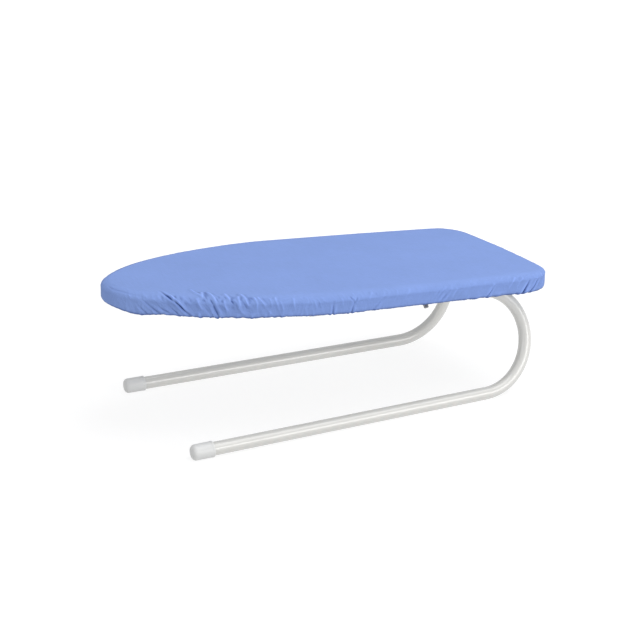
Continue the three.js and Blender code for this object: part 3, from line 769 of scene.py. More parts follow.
def edge_shade():
    """Painted shade on the cloth: in the crease of the hem, over the tight far edge and in the gathers of the near
    skirt.
    """
    way = cover_way[:, None]
    distance = from_nose(cover_reach)
    near = on_near_side(cover_reach)
    flank = ramp(distance, *FLANK_START) * (1 - ramp(distance, *FLANK_END))
    hem = within(way, HEM_SHADE_WAY, TURN_END, SHADE_BLEND)
    far = within(way, 0, EDGE_WAY, SHADE_BLEND) * flank * ~near
    skirt = ramp(way, *SKIRT_SHADE_WAYS) * flank * near
    return np.maximum(HEM_SHADE * hem, FAR_EDGE_SHADE * far + SKIRT_SHADE * skirt)


def cover_mesh():
    gain = PROUD_ON_TOP - PROUD_LOSS * ramp(cover_way, PROUD_LOSS_WAY, EDGE_WAY)
    proud = stands_out(cover_reach, cover_lift) * gain[:, None]
    # Painted shade: dark navy where the cloth sinks below its surroundings, and in the crease of the hem, along
    # the far edge and on the near skirt
    depth = np.maximum(np.clip((-proud - PLEAT_SHADE_START) / PLEAT_SHADE_SPAN, 0, 1), edge_shade())
    # Painted highlight: the cloth is painted lighter where it stands out on a ridge
    ridge = np.clip(proud / RIDGE_HIGHLIGHT_HEIGHT, 0, 1)
    hem_fold = smoothstep((cover_way - HEM_END + HEM_FOLD_WIDTH) / HEM_FOLD_STEP)
    thickness = COVER_THICKNESS + (HEM_FOLD_THICKNESS - COVER_THICKNESS) * hem_fold
    outer = [cover_ring(row, lift) for row, lift in enumerate(cover_lift)]
    rows = inner_rows()
    inner = [cover_ring(row, inner_lift(rows, place, thickness[row])) for place, row in enumerate(rows)]
    stations = len(cover_reach)
    inwards = np.concatenate([-outline_outward(cover_reach), np.zeros((stations, 1))], 1)
    hem_edge = (outer[-1] + inner[0]) / 2 + inwards * HEM_FOLD_THICKNESS / 2
    cuts = [flat_cut(way) for way in cover_way]
    skirt = [np.full(stations, share) for share in ramp(cover_way, *CREPE_WAYS)]
    inside = 1 + len(inner)
    return ring_mesh(
        "cover",
        [*outer, hem_edge, *inner],
        ends=True,
        places=[*cuts, cuts[-1], *(cuts[row] for row in rows)],
        marks={
            "painted_shade": [*depth, *[np.zeros(stations)] * inside],
            "ridge": [*ridge, *[np.zeros(stations)] * inside],
            "skirt": [*skirt, *[np.ones(stations)] * inside],
        },
    )


# Pad, rim and elastic
def pad_spine(reach, height):
    x = np.clip(outline_point(reach)[:, 0], PAD_SPINE_FRONT_X, PAD_SPINE_REAR_X)
    return np.stack([x, np.zeros_like(x), np.full_like(x, height)], -1)


def pad_mesh():
    """Felt whose rounded edge lies just inside the cover."""
    reach = even_reach(PAD_STATIONS)
    _, drop = edge_rounds(reach)
    edge_end = np.arccos(1 - np.minimum((COVER_TOP - PAD_INSET - PAD_FOOT) / drop, 1))
    side = []
    for share in np.linspace(1, 0, PAD_EDGE_RINGS):
        way = EDGE_WAY * share * edge_end / (math.pi / 2)
        offset, height = cover_section(reach, way)
        out, up = section_outward(reach, way)
        side.append(beside_rim(reach, offset - out * PAD_INSET, height - up * PAD_INSET))
    foot = side[0] * (1, 1, 0) + (0, 0, PAD_BOTTOM)
    bottom_spine = pad_spine(reach, PAD_BOTTOM)
    top_spine = pad_spine(reach, COVER_TOP - PAD_INSET)
    below = rings_between(bottom_spine, foot, PAD_FACE_RINGS)
    above = rings_between(side[-1], top_spine, PAD_FACE_RINGS)
    return ring_mesh("pad", [bottom_spine, *below, foot, *side, *above, top_spine])


def rounded_section(corners, radii, steps=4):
    """A closed section with each corner replaced by an arc of its own radius."""
    points = []
    count = len(corners)
    for i, (corner, radius) in enumerate(zip(corners, radii)):
        corner = np.array(corner)
        back = np.array(corners[i - 1]) - corner
        ahead = np.array(corners[(i + 1) % count]) - corner
        back = back / np.linalg.norm(back)
        ahead = ahead / np.linalg.norm(ahead)
        half = math.acos(np.clip(back @ ahead, -1, 1)) / 2
        middle = corner + (back + ahead) / np.linalg.norm(back + ahead) * radius / math.sin(half)
        first = corner + back * radius / math.tan(half) - middle
        last = corner + ahead * radius / math.tan(half) - middle
        for t in np.linspace(0, 1, steps):
            spoke = first * (1 - t) + last * t
            points.append(middle + spoke / np.linalg.norm(spoke) * radius)
    return np.array(points)


def band_mesh(name, section, reach, raised=0.0):
    """A strip with one section all round the deck, raised by its own amount at each station."""
    rings = [beside_rim(reach, offset, height + raised) for offset, height in section]
    places = [np.stack([reach, np.full(len(reach), i * MILLIMETRE)], -1) for i in range(len(section))]
    return ring_mesh(name, rings, looped=True, places=places, crease_deg=CREASE_DEG)


def rim_mesh():
    corners = [
        (0, 0),
        (0, -RIM_HEIGHT),
        (-RIM_CURL, -RIM_HEIGHT),
        (-RIM_CURL, RIM_SHEET - RIM_HEIGHT),
        (-RIM_SHEET, RIM_SHEET - RIM_HEIGHT),
        (-RIM_SHEET, -RIM_SHEET),
        (-RIM_FLANGE, -RIM_SHEET),
        (-RIM_FLANGE, 0),
    ]
    radii = [RIM_BEND] * 2 + [SHEET_EDGE_ROUND] * 6
    return band_mesh("rim_frame", rounded_section(corners, radii), even_reach(RIM_STATIONS))


# Middle line of the elastic, as a way over the cover and an offset from the rim
SEAM_WAY = HEM_END - ELASTIC_INSET - ELASTIC_WIDTH / 2
SEAM_OFFSET = COVER_OUT + SKIRT_BULGE - TURN_WIDTH - UNDER_WAY + ELASTIC_INSET + ELASTIC_WIDTH / 2


def hem_heights(reach):
    """Height of the hem's lower face along the seam."""
    row = int(np.abs(cover_way - SEAM_WAY).argmin())
    _, height = cover_section(reach, SEAM_WAY)
    return height - np.interp(reach, cover_reach, cover_lift[row], period=PERIMETER)


def elastic_mesh():
    reach = even_reach(ELASTIC_STATIONS)
    half = ELASTIC_WIDTH / 2
    corners = [
        (SEAM_OFFSET - half, 0),
        (SEAM_OFFSET + half, 0),
        (SEAM_OFFSET + half, ELASTIC_THICKNESS),
        (SEAM_OFFSET - half, ELASTIC_THICKNESS),
    ]
    cloth = np.max([cover_section(reach, SEAM_WAY + aside)[1] for aside in (-half, 0, half)], 0)
    raised = cloth + HEM_LIFT + HEM_FOLD_THICKNESS + ELASTIC_GAP
    section = rounded_section(corners, [ELASTIC_ROUND] * 4, steps=3)
    return band_mesh("hem_elastic", section, reach, raised)


# Turned pieces and legs
def turned_mesh(name, profile, sides, origin, axis):
    """A turned piece; the profile gives radius and distance along the axis, and starts and ends on it."""
    axis = np.array(axis) / np.linalg.norm(axis)
    aside = np.cross(axis, SPOKE_START)
    aside = aside / np.linalg.norm(aside)
    across = np.cross(axis, aside)
    angle = np.linspace(0, 2 * math.pi, sides, endpoint=False)[:, None]
    spokes = np.cos(angle) * aside + np.sin(angle) * across
    rings = [np.array(origin) + axis * along + spokes * radius for radius, along in profile]
    return ring_mesh(name, rings, crease_deg=CREASE_DEG)


def arc(middle, radius, start_deg, end_deg, steps):
    angles = np.radians(np.linspace(start_deg, end_deg, steps))
    return [(middle[0] + radius * math.cos(a), middle[1] + radius * math.sin(a)) for a in angles]


def leg_line(side):
    """Centre points and directions of a leg from the front of its top run to the end of its runner."""
    splay = math.radians(LEG_SPLAY_DEG)
    down = np.array((0, side * math.sin(splay), -math.cos(splay)))
    ahead = np.array((1.0, 0, 0))
    hinge = np.array((0, side * HINGE_Y, HINGE_LEVEL))
    centres = [hinge + ahead * TOP_RUN_FRONT_X]
    directions = [ahead]
    for angle in np.linspace(0, math.pi - math.radians(LEG_OPENING_DEG), LEG_BEND_STEPS):
        along = LEG_BEND_X + LEG_BEND_RADIUS * math.sin(angle)
        depth = LEG_BEND_RADIUS * (1 - math.cos(angle))
        centres.append(hinge + ahead * along + down * depth)
        directions.append(ahead * math.cos(angle) + down * math.sin(angle))
    centres.append(centres[-1] + directions[-1] * (RUNNER_LENGTH - CAP_END - SEAT_GAP))
    directions.append(directions[-1])
    return np.array(centres), np.array(directions), np.cross(ahead, down)


def leg_mesh(side):
    centres, directions, sideways = leg_line(side)
    inwards = np.cross(sideways, directions)
    angle = np.linspace(0, 2 * math.pi, TUBE_SIDES, endpoint=False)[:, None]
    rings = []
    for radius, order in ((TUBE_RADIUS, 1), (TUBE_RADIUS - TUBE_WALL, -1)):
        spokes = [np.cos(angle) * inward + np.sin(angle) * sideways for inward in inwards]
        rings += [centre + spoke * radius for centre, spoke in zip(centres, spokes)][::order]
    return ring_mesh("leg_tube", rings, looped=True, crease_deg=CREASE_DEG)


def cap_mesh(side):
    """Moulded cup over the end of a runner, with a rounded end and a lip round its mouth."""
    wall = CAP_OUTER - CAP_LIP_STEP
    lip = CAP_LENGTH - CAP_LIP_LENGTH
    profile = [
        (0, 0),
        *arc((wall - CAP_END_ROUND, CAP_END_ROUND), CAP_END_ROUND, -90, 0, steps=9),
        (wall + CAP_TAPER, lip - CAP_LIP_FOOT),
        *arc((CAP_OUTER - CAP_LIP_FOOT_ROUND, lip + CAP_LIP_RISE), CAP_LIP_FOOT_ROUND, -60, 0, steps=4),
        *arc((CAP_OUTER - CAP_MOUTH_ROUND, CAP_LENGTH - CAP_MOUTH_ROUND), CAP_MOUTH_ROUND, 0, 90, steps=5),
        (CAP_BORE, CAP_LENGTH),
        (CAP_BORE, CAP_END),
        (0, CAP_END),
    ]
    centres, directions, _ = leg_line(side)
    origin = centres[-1] + directions[-1] * (CAP_END + SEAT_GAP)
    return turned_mesh("foot_cap", profile, CAP_SIDES, origin, -directions[-1])


def plug_mesh(side):
    profile = [
        (0, 0),
        *arc((TUBE_RADIUS - PLUG_ROUND, PLUG_ROUND), PLUG_ROUND, -90, 0, steps=6),
        (TUBE_RADIUS, PLUG_FLANGE - PLUG_CHAMFER),
        (TUBE_RADIUS - PLUG_CHAMFER, PLUG_FLANGE),
        (PLUG_STEM, PLUG_FLANGE),
        (PLUG_STEM - PLUG_TAPER, PLUG_LENGTH),
        (PLUG_STEM - PLUG_WALL, PLUG_LENGTH),
        (PLUG_STEM - PLUG_WALL, PLUG_FLANGE + PLUG_WALL),
        (0, PLUG_FLANGE + PLUG_WALL),
    ]
    origin = (TOP_RUN_FRONT_X - PLUG_FLANGE - SEAT_GAP, side * HINGE_Y, HINGE_LEVEL)
    return turned_mesh("tube_plug", profile, TUBE_SIDES, origin, (1, 0, 0))


def softened_mesh(node):
    """A merged copy of a sheet-metal or screw solid with its hard edges rounded."""
    form = bmesh.new()
    form.from_mesh(frame["nodes"][node].data)
    bmesh.ops.remove_doubles(form, verts=form.verts, dist=MERGE_DISTANCE)
    flat = math.radians(FLAT_WITHIN_DEG)
    bmesh.ops.dissolve_limit(form, angle_limit=flat, verts=form.verts, edges=form.edges)
    bmesh.ops.bevel(
        form,
        geom=[edge for edge in form.edges if edge.calc_face_angle(0) > math.radians(HARD_EDGE_DEG)],
        offset=SHEET_EDGE_ROUND,
        segments=2,
        profile=0.5,
        affect="EDGES",
        clamp_overlap=True,
    )
    mesh = bpy.data.meshes.new(node)
    form.to_mesh(mesh)
    form.free()
    mesh.transform(DECK_MATRIX.inverted())
    mesh.shade_smooth()
    mesh.set_sharp_from_angle(angle=math.radians(SOFTENED_CREASE_DEG))
    return mesh


# Node trees
def add_node(tree, kind, inputs=None, **settings):
    """A node with its settings; each input takes a plain value or another node's socket."""
    node = tree.nodes.new(kind)
    for name, value in settings.items():
        setattr(node, name, value)
    for key, value in (inputs or {}).items():
        if isinstance(value, bpy.types.NodeSocket):
            tree.links.new(value, node.inputs[key])
        else:
            node.inputs[key].default_value = value
    return node


def maths(tree, operation, *values):
    return add_node(tree, "ShaderNodeMath", dict(enumerate(values)), operation=operation).outputs[0]


def stretched(tree, place, shares):
    """Coordinates made longer or shorter along each axis."""
    return add_node(tree, "ShaderNodeVectorMath", {0: place, 1: shares}, operation="MULTIPLY").outputs[0]


def new_tree(kind, name, inputs, outputs):
    """A node tree with named sockets, as the tree, its input sockets and its output node."""
    tree = bpy.data.node_groups.new(name, kind)
    for label, socket, value in inputs:
        made = tree.interface.new_socket(label, in_out="INPUT", socket_type=socket)
        if value is not None:
            made.default_value = value
    for label, socket in outputs:
        tree.interface.new_socket(label, in_out="OUTPUT", socket_type=socket)
    return tree, tree.nodes.new("NodeGroupInput").outputs, tree.nodes.new("NodeGroupOutput")


def geometry_tree(name, *inputs):
    return new_tree("GeometryNodeTree", name, inputs, (("Mesh", "NodeSocketGeometry"),))


def grown_mesh(base, tree, values):
    """The mesh that a geometry tree makes of a base mesh in the deck's frame."""
    carrier = bpy.data.objects.new("carrier", base)
    bpy.context.scene.collection.objects.link(carrier)
    modifier = carrier.modifiers.new("growth", "NODES")
    modifier.node_group = tree
    for socket in tree.interface.items_tree:
        if socket.in_out == "INPUT" and socket.name in values:
            modifier[socket.identifier] = values[socket.name]
    graph = bpy.context.evaluated_depsgraph_get()
    mesh = bpy.data.meshes.new_from_object(carrier.evaluated_get(graph), depsgraph=graph)
    bpy.data.objects.remove(carrier)
    return mesh


def loop_mesh(name, points):
    """A closed line of edges."""
    mesh = bpy.data.meshes.new(name)
    count = len(points)
    mesh.from_pydata(points.tolist(), [(i, (i + 1) % count) for i in range(count)], [])
    return mesh


def shape_lender(name, mesh):
    """An object that only lends its shape to a geometry tree."""
    lender = bpy.data.objects.new(name, mesh)
    bpy.context.scene.collection.objects.link(lender)
    return lender


def realized(tree, geometry, finish, result):
    """Ends a geometry tree: copies made real and given their material."""
    real = add_node(tree, "GeometryNodeRealizeInstances", {0: geometry}).outputs[0]
    finished = add_node(tree, "GeometryNodeSetMaterial", {"Geometry": real, "Material": finish})
    tree.links.new(finished.outputs[0], result.inputs["Mesh"])


# Expanded mesh of the deck: diamonds cut from a sheet, with their strands twisted
def slab(tree, edge, height, depth):
    """A closed slab within an edge line."""
    curve = add_node(tree, "GeometryNodeMeshToCurve", {0: edge}).outputs[0]
    face = add_node(tree, "GeometryNodeFillCurve", {"Curve": curve}).outputs[0]
    raised = add_node(tree, "GeometryNodeTransform", {"Geometry": face, "Translation": (0, 0, height)})
    offset = add_node(tree, "ShaderNodeCombineXYZ", {"Z": depth}).outputs[0]
    bottom = raised.outputs[0]
    body = add_node(tree, "GeometryNodeExtrudeMesh", {"Mesh": bottom, "Offset": offset, "Individual": False})
    turned = add_node(tree, "GeometryNodeFlipFaces", {0: bottom}).outputs[0]
    both = add_node(tree, "GeometryNodeJoinGeometry", {0: body.outputs[0]})
    tree.links.new(turned, both.inputs[0])
    seams = {"Geometry": both.outputs[0], "Distance": MERGE_DISTANCE}
    return add_node(tree, "GeometryNodeMergeByDistance", seams).outputs[0]


def diamond_punches(tree, given):
    """Diamond prisms in two lattices, one between the other, a strand apart."""
    columns = maths(tree, "CEIL", maths(tree, "DIVIDE", given["Field Length"], given["Short Way"]))
    rows = maths(tree, "CEIL", maths(tree, "DIVIDE", given["Field Width"], given["Long Way"]))
    grid = add_node(tree, "GeometryNodeMeshGrid", {
        "Size X": maths(tree, "MULTIPLY", columns, given["Short Way"]),
        "Size Y": maths(tree, "MULTIPLY", rows, given["Long Way"]),
        "Vertices X": maths(tree, "ADD", columns, 1.0),
        "Vertices Y": maths(tree, "ADD", rows, 1.0),
    }).outputs["Mesh"]
    half_short = maths(tree, "DIVIDE", given["Short Way"], 2.0)
    half_long = maths(tree, "DIVIDE", given["Long Way"], 2.0)
    step = add_node(tree, "ShaderNodeCombineXYZ", {"X": half_short, "Y": half_long}).outputs[0]
    between = add_node(tree, "GeometryNodeTransform", {"Geometry": grid, "Translation": step}).outputs[0]
    centres = add_node(tree, "GeometryNodeJoinGeometry", {0: grid})
    tree.links.new(between, centres.inputs[0])
    squares = maths(tree, "ADD", maths(tree, "POWER", half_short, 2.0), maths(tree, "POWER", half_long, 2.0))
    half_area = maths(tree, "MULTIPLY", half_short, half_long)
    side_away = maths(tree, "DIVIDE", half_area, maths(tree, "SQRT", squares))
    strand_share = maths(tree, "DIVIDE", given["Strand"], maths(tree, "MULTIPLY", side_away, 2.0))
    hole_share = maths(tree, "SUBTRACT", 1.0, strand_share)
    size = add_node(tree, "ShaderNodeCombineXYZ", {
        "X": maths(tree, "MULTIPLY", half_short, hole_share),
        "Y": maths(tree, "MULTIPLY", half_long, hole_share),
        "Z": 1.0,
    }).outputs[0]
    prism = add_node(tree, "GeometryNodeMeshCylinder", {"Vertices": 4, "Radius": 1.0, "Depth": PUNCH_DEPTH})
    diamond = add_node(tree, "GeometryNodeTransform", {"Geometry": prism.outputs["Mesh"], "Scale": size})
    punches = add_node(tree, "GeometryNodeInstanceOnPoints", {
        "Points": centres.outputs[0],
        "Instance": diamond.outputs[0],
    })
    return add_node(tree, "GeometryNodeRealizeInstances", {0: punches.outputs[0]}).outputs[0]


def strand_twist(tree, given):
    """How far each corner of the holes is pressed up or down, away from the plain border."""
    position = add_node(tree, "GeometryNodeInputPosition").outputs[0]
    place = add_node(tree, "ShaderNodeSeparateXYZ", {0: position})
    short_turns = maths(tree, "DIVIDE", place.outputs["X"], given["Short Way"])
    long_turns = maths(tree, "DIVIDE", place.outputs["Y"], given["Long Way"])
    rock = maths(tree, "SINE", maths(tree, "MULTIPLY", short_turns, 2 * math.pi))
    sway = maths(tree, "COSINE", maths(tree, "MULTIPLY", long_turns, 2 * math.pi))
    near = add_node(tree, "GeometryNodeProximity", {0: given["Sheet Edge"]}, target_element="EDGES")
    border = maths(tree, "ADD", given["Border"], TWIST_OFF_BORDER)
    off_border = maths(tree, "GREATER_THAN", near.outputs["Distance"], border)
    tilt = maths(tree, "MULTIPLY", maths(tree, "MULTIPLY", rock, sway), off_border)
    height = maths(tree, "MULTIPLY", tilt, given["Twist"])
    return add_node(tree, "ShaderNodeCombineXYZ", {"Z": height}).outputs[0]


def expanded_mesh_tree():
    tree, given, result = geometry_tree(
        "expanded_mesh",
        ("Sheet Edge", "NodeSocketGeometry", None),
        ("Hole Field", "NodeSocketObject", None),
        ("Field Length", "NodeSocketFloat", MESH_FIELD_LENGTH),
        ("Field Width", "NodeSocketFloat", MESH_FIELD_WIDTH),
        ("Long Way", "NodeSocketFloat", MESH_LONG_WAY),
        ("Short Way", "NodeSocketFloat", MESH_SHORT_WAY),
        ("Strand", "NodeSocketFloat", MESH_STRAND),
        ("Thickness", "NodeSocketFloat", MESH_THICKNESS),
        ("Border", "NodeSocketFloat", MESH_BORDER),
        ("Twist", "NodeSocketFloat", MESH_TWIST),
        ("Finish", "NodeSocketMaterial", None),
    )
    field = add_node(tree, "GeometryNodeObjectInfo", {"Object": given["Hole Field"]}).outputs["Geometry"]
    room = slab(tree, field, PUNCH_ROOM_LEVEL, PUNCH_ROOM_DEPTH)
    inside = add_node(tree, "GeometryNodeMeshBoolean", operation="INTERSECT", solver="MANIFOLD")
    tree.links.new(diamond_punches(tree, given), inside.inputs["Mesh 2"])
    tree.links.new(room, inside.inputs["Mesh 2"])
    cut = add_node(tree, "GeometryNodeMeshBoolean", {
        "Mesh 1": slab(tree, given["Sheet Edge"], 0.0, given["Thickness"]),
        "Mesh 2": inside.outputs[0],
    }, operation="DIFFERENCE", solver="MANIFOLD")
    twisted = add_node(tree, "GeometryNodeSetPosition", {
        "Geometry": cut.outputs[0],
        "Offset": strand_twist(tree, given),
    })
    realized(tree, twisted.outputs[0], given["Finish"], result)
    return tree


def mesh_top_mesh(finish):
    reach = even_reach(SHEET_EDGE_STATIONS)
    edge = loop_mesh("sheet_edge", beside_rim(reach, -MESH_INSET, 0.0))
    field_edge = beside_rim(reach, -MESH_INSET - MESH_BORDER, 0.0)
    field = shape_lender("hole_field", loop_mesh("hole_field", field_edge))
    mesh = grown_mesh(edge, expanded_mesh_tree(), {"Hole Field": field, "Finish": finish})
    bpy.data.objects.remove(field)
    mesh.transform(Matrix.Translation((0, 0, MESH_TOP - MESH_THICKNESS)))
    return mesh


# Rivets
RIVET_NODES = [
    f"{hand}_{end}_{place}_rivet"
    for hand in ("left", "right")
    for end in ("front", "rear")
    for place in ("outer", "inner")
]


def rivets_tree():
    tree, given, result = geometry_tree(
        "rivets_at_places",
        ("Places", "NodeSocketGeometry", None),
        ("Rivet", "NodeSocketObject", None),
        ("Finish", "NodeSocketMaterial", None),
    )
    rivet = add_node(tree, "GeometryNodeObjectInfo", {"Object": given["Rivet"]}).outputs["Geometry"]
    rivets = add_node(tree, "GeometryNodeInstanceOnPoints", {"Points": given["Places"], "Instance": rivet})
    realized(tree, rivets.outputs[0], given["Finish"], result)
    return tree


def rivets_mesh(finish):
    boxes = [in_deck_frame(node_points(node)) for node in RIVET_NODES]
    middles = [((box.min(0) + box.max(0)) / 2).tolist() for box in boxes]
    length = float(np.ptp(boxes[0][:, 2]))
    tail = length - RIVET_TAIL_HEIGHT
    profile = [
        (0, 0),
        (RIVET_HEAD_RADIUS * RIVET_HEAD_CROWN_WIDTH, RIVET_CROWN),
        *((RIVET_HEAD_RADIUS * wide, RIVET_HEAD_HEIGHT * high) for wide, high in RIVET_HEAD_FORM),
        (RIVET_RADIUS, RIVET_HEAD_HEIGHT),
        (RIVET_RADIUS, tail),
        *((RIVET_TAIL_RADIUS * wide, tail + RIVET_TAIL_HEIGHT * high) for wide, high in RIVET_TAIL_FORM),
        (RIVET_TAIL_RADIUS * RIVET_TAIL_CROWN_WIDTH, length - RIVET_CROWN),
        (0, length),
    ]
    rivet = shape_lender("rivet", turned_mesh("rivet", profile, RIVET_SIDES, (0, 0, -length / 2), (0, 0, 1)))
    places = bpy.data.meshes.new("rivet_places")
    places.from_pydata(middles, [], [])
    mesh = grown_mesh(places, rivets_tree(), {"Rivet": rivet, "Finish": finish})
    bpy.data.objects.remove(rivet)
    mesh.shade_smooth()
    mesh.set_sharp_from_angle(angle=math.radians(RIVET_CREASE_DEG))
    return mesh


# Zigzag stitches on the lower face of the hem
def stitches_tree():
    tree, given, result = geometry_tree(
        "zigzag_stitches",
        ("Seam", "NodeSocketGeometry", None),
        ("Stitch", "NodeSocketObject", None),
        ("Pitch", "NodeSocketFloat", STITCH_PITCH),
        ("Slant", "NodeSocketFloat", math.radians(STITCH_SLANT_DEG)),
        ("Finish", "NodeSocketMaterial", None),
    )
    curve = add_node(tree, "GeometryNodeMeshToCurve", {0: given["Seam"]}).outputs[0]
    spacing = {"Curve": curve, "Length": given["Pitch"]}
    spaced = add_node(tree, "GeometryNodeCurveToPoints", spacing, mode="LENGTH").outputs
    odd = maths(tree, "MODULO", add_node(tree, "GeometryNodeInputIndex").outputs[0], 2.0)
    hand = maths(tree, "SUBTRACT", maths(tree, "MULTIPLY", odd, 2.0), 1.0)
    slant = add_node(tree, "FunctionNodeAxisAngleToRotation", {
        "Axis": (0, 0, 1),
        "Angle": maths(tree, "MULTIPLY", hand, given["Slant"]),
    })
    along = add_node(tree, "FunctionNodeAlignRotationToVector", {"Vector": spaced["Tangent"]}, axis="X")
    turned = add_node(tree, "FunctionNodeRotateRotation", {
        "Rotation": along.outputs[0],
        "Rotate By": slant.outputs[0],
    }, rotation_space="GLOBAL")
    stitch = add_node(tree, "GeometryNodeObjectInfo", {"Object": given["Stitch"]}).outputs["Geometry"]
    stitches = add_node(tree, "GeometryNodeInstanceOnPoints", {
        "Points": spaced["Points"],
        "Instance": stitch,
        "Rotation": turned.outputs[0],
    })
    realized(tree, stitches.outputs[0], given["Finish"], result)
    return tree


def stitches_mesh(finish):
    reach = even_reach(SEAM_STATIONS)
    heights = hem_heights(reach) - STITCH_RADIUS * STITCH_SINK
    seam = loop_mesh("hem_seam", beside_rim(reach, SEAM_OFFSET, heights))
    profile = [
        (0, 0),
        (STITCH_RADIUS, STITCH_RADIUS),
        (STITCH_RADIUS, STITCH_LENGTH - STITCH_RADIUS),
        (0, STITCH_LENGTH),
    ]
    start = (-STITCH_LENGTH / 2, 0, 0)
    stitch = shape_lender("stitch", turned_mesh("stitch", profile, STITCH_SIDES, start, (1, 0, 0)))
    mesh = grown_mesh(seam, stitches_tree(), {"Stitch": stitch, "Finish": finish})
    bpy.data.objects.remove(stitch)
    mesh.shade_smooth()
    return mesh


# Shared surface effects
SLUB_STRETCHES = ((0.9, 0.02, 1), (0.02, 0.9, 1))
SLUB_TONE = 0.22
SCUFF_STRETCH = (0.15, 1, 1)


def cloudy_group():
    """Slow, faint changes of tone, as a value round 1."""
    tree, given, result = new_tree(
        "ShaderNodeTree",
        "cloudy_tone",
        (
            ("Vector", "NodeSocketVector", None),
            ("Scale", "NodeSocketFloat", 8),
            ("Spread", "NodeSocketFloat", 0.05),
        ),
        (("Tone", "NodeSocketFloat"),),
    )
    clouds = add_node(tree, "ShaderNodeTexNoise", {
        "Vector": given["Vector"],
        "Scale": given["Scale"],
        "Detail": 4.0,
        "Roughness": 0.55,
    }).outputs[0]
    swing = maths(tree, "MULTIPLY", maths(tree, "SUBTRACT", clouds, 0.5), given["Spread"])
    tree.links.new(maths(tree, "ADD", maths(tree, "MULTIPLY", swing, 2.0), 1.0), result.inputs["Tone"])
    return tree


def weave_group():
    """Plain weave: the height of crossing threads and the tone of single thicker threads."""
    tree, given, result = new_tree(
        "ShaderNodeTree",
        "plain_weave",
        (("Vector", "NodeSocketVector", None), ("Threads per Metre", "NodeSocketFloat", 2000)),
        (("Height", "NodeSocketFloat"), ("Tone", "NodeSocketFloat")),
    )
    scaled = add_node(tree, "ShaderNodeVectorMath", {
        0: given["Vector"],
        "Scale": given["Threads per Metre"],
    }, operation="SCALE").outputs[0]
    thread = add_node(tree, "ShaderNodeSeparateXYZ", {0: scaled}).outputs
    warp = maths(tree, "ABSOLUTE", maths(tree, "SINE", maths(tree, "MULTIPLY", thread["X"], math.pi)))
    weft = maths(tree, "ABSOLUTE", maths(tree, "SINE", maths(tree, "MULTIPLY", thread["Y"], math.pi)))
    cell = maths(tree, "ADD", maths(tree, "FLOOR", thread["X"]), maths(tree, "FLOOR", thread["Y"]))
    over = maths(tree, "FLOORED_MODULO", cell, 2.0)
    under = maths(tree, "SUBTRACT", 1.0, over)
    height = maths(tree, "ADD", maths(tree, "MULTIPLY", warp, over), maths(tree, "MULTIPLY", weft, under))
    tree.links.new(height, result.inputs["Height"])
    slubs = []
    for stretch in SLUB_STRETCHES:
        drawn = stretched(tree, scaled, stretch)
        slubs.append(add_node(tree, "ShaderNodeTexNoise", {"Vector": drawn, "Scale": 1.0}).outputs[0])
    mixed = maths(tree, "MULTIPLY", maths(tree, "SUBTRACT", maths(tree, "ADD", *slubs), 1.0), SLUB_TONE)
    tree.links.new(maths(tree, "ADD", mixed, 1.0), result.inputs["Tone"])
    return tree


def scuff_group():
    """Thin rubbed marks, as a mask."""
    tree, given, result = new_tree(
        "ShaderNodeTree",
        "scuffs",
        (
            ("Vector", "NodeSocketVector", None),
            ("Scale", "NodeSocketFloat", 60),
            ("Amount", "NodeSocketFloat", 0.3),
        ),
        (("Mask", "NodeSocketFloat"),),
    )
    streaks = add_node(tree, "ShaderNodeTexNoise", {
        "Vector": stretched(tree, given["Vector"], SCUFF_STRETCH),
        "Scale": given["Scale"],
        "Detail": 6.0,
        "Distortion": 0.6,
    }).outputs[0]
    mask = add_node(tree, "ShaderNodeMapRange", {"Value": streaks, "From Min": 0.58, "From Max": 0.72})
    tree.links.new(maths(tree, "MULTIPLY", mask.outputs["Result"], given["Amount"]), result.inputs["Mask"])
    return tree


CLOUDY = cloudy_group()
WEAVE = weave_group()
SCUFFS = scuff_group()


# Colours of the materials
COTTON_BLUE = (0.258, 0.383, 0.79, 1)
# Dark navy of the painted shade in pleats, in the hem's crease, along the far edge and on the near skirt
COTTON_PAINTED_SHADE = (0.020, 0.055, 0.235, 1)
THREAD_BLUE = (0.20, 0.31, 0.68)
FELT_CREAM = (0.76, 0.73, 0.66)
BRAID_WHITE = (0.84, 0.84, 0.81)
DECK_SILVER = (0.45, 0.46, 0.485)
BRIGHT_ZINC = (0.58, 0.59, 0.61)
DULL_ZINC = (0.26, 0.26, 0.27)
ENAMEL_WHITE = (0.715, 0.71, 0.68)
PLASTIC_WHITE = (0.77, 0.775, 0.77)

# Spacing of the cotton's threads and the braid's ribs, the painted highlight on ridges and the wear of the plating
COTTON_THREADS_PER_METRE = 1900.0
BRAID_RIB_PITCH = 0.0011
RIDGE_HIGHLIGHT_TONE = 0.3
ZINC_RUB = 0.3

# Sockets of a mix of two colours
MIX_SHARE = 0
MIX_FIRST_COLOUR = 6
MIX_SECOND_COLOUR = 7
MIXED_COLOUR = 2


# Materials
def new_material(name, roughness, metallic=0.0):
    finish = bpy.data.materials.new(name)
    finish.use_nodes = True
    shader = finish.node_tree.nodes["Principled BSDF"]
    shader.inputs["Roughness"].default_value = roughness
    shader.inputs["Metallic"].default_value = metallic
    return finish, finish.node_tree, shader


def place_of(tree):
    return add_node(tree, "ShaderNodeTexCoord").outputs["Object"]


def cloudy(tree, place, scale, spread):
    inputs = {"Vector": place, "Scale": scale, "Spread": spread}
    return add_node(tree, "ShaderNodeGroup", inputs, node_tree=CLOUDY).outputs["Tone"]


def scuffed(tree, place, scale, amount):
    inputs = {"Vector": place, "Scale": scale, "Amount": amount}
    return add_node(tree, "ShaderNodeGroup", inputs, node_tree=SCUFFS).outputs["Mask"]


def toned(tree, colour, tone):
    """A colour made lighter or darker by a value round 1."""
    return add_node(tree, "ShaderNodeVectorMath", {0: colour, "Scale": tone}, operation="SCALE").outputs[0]


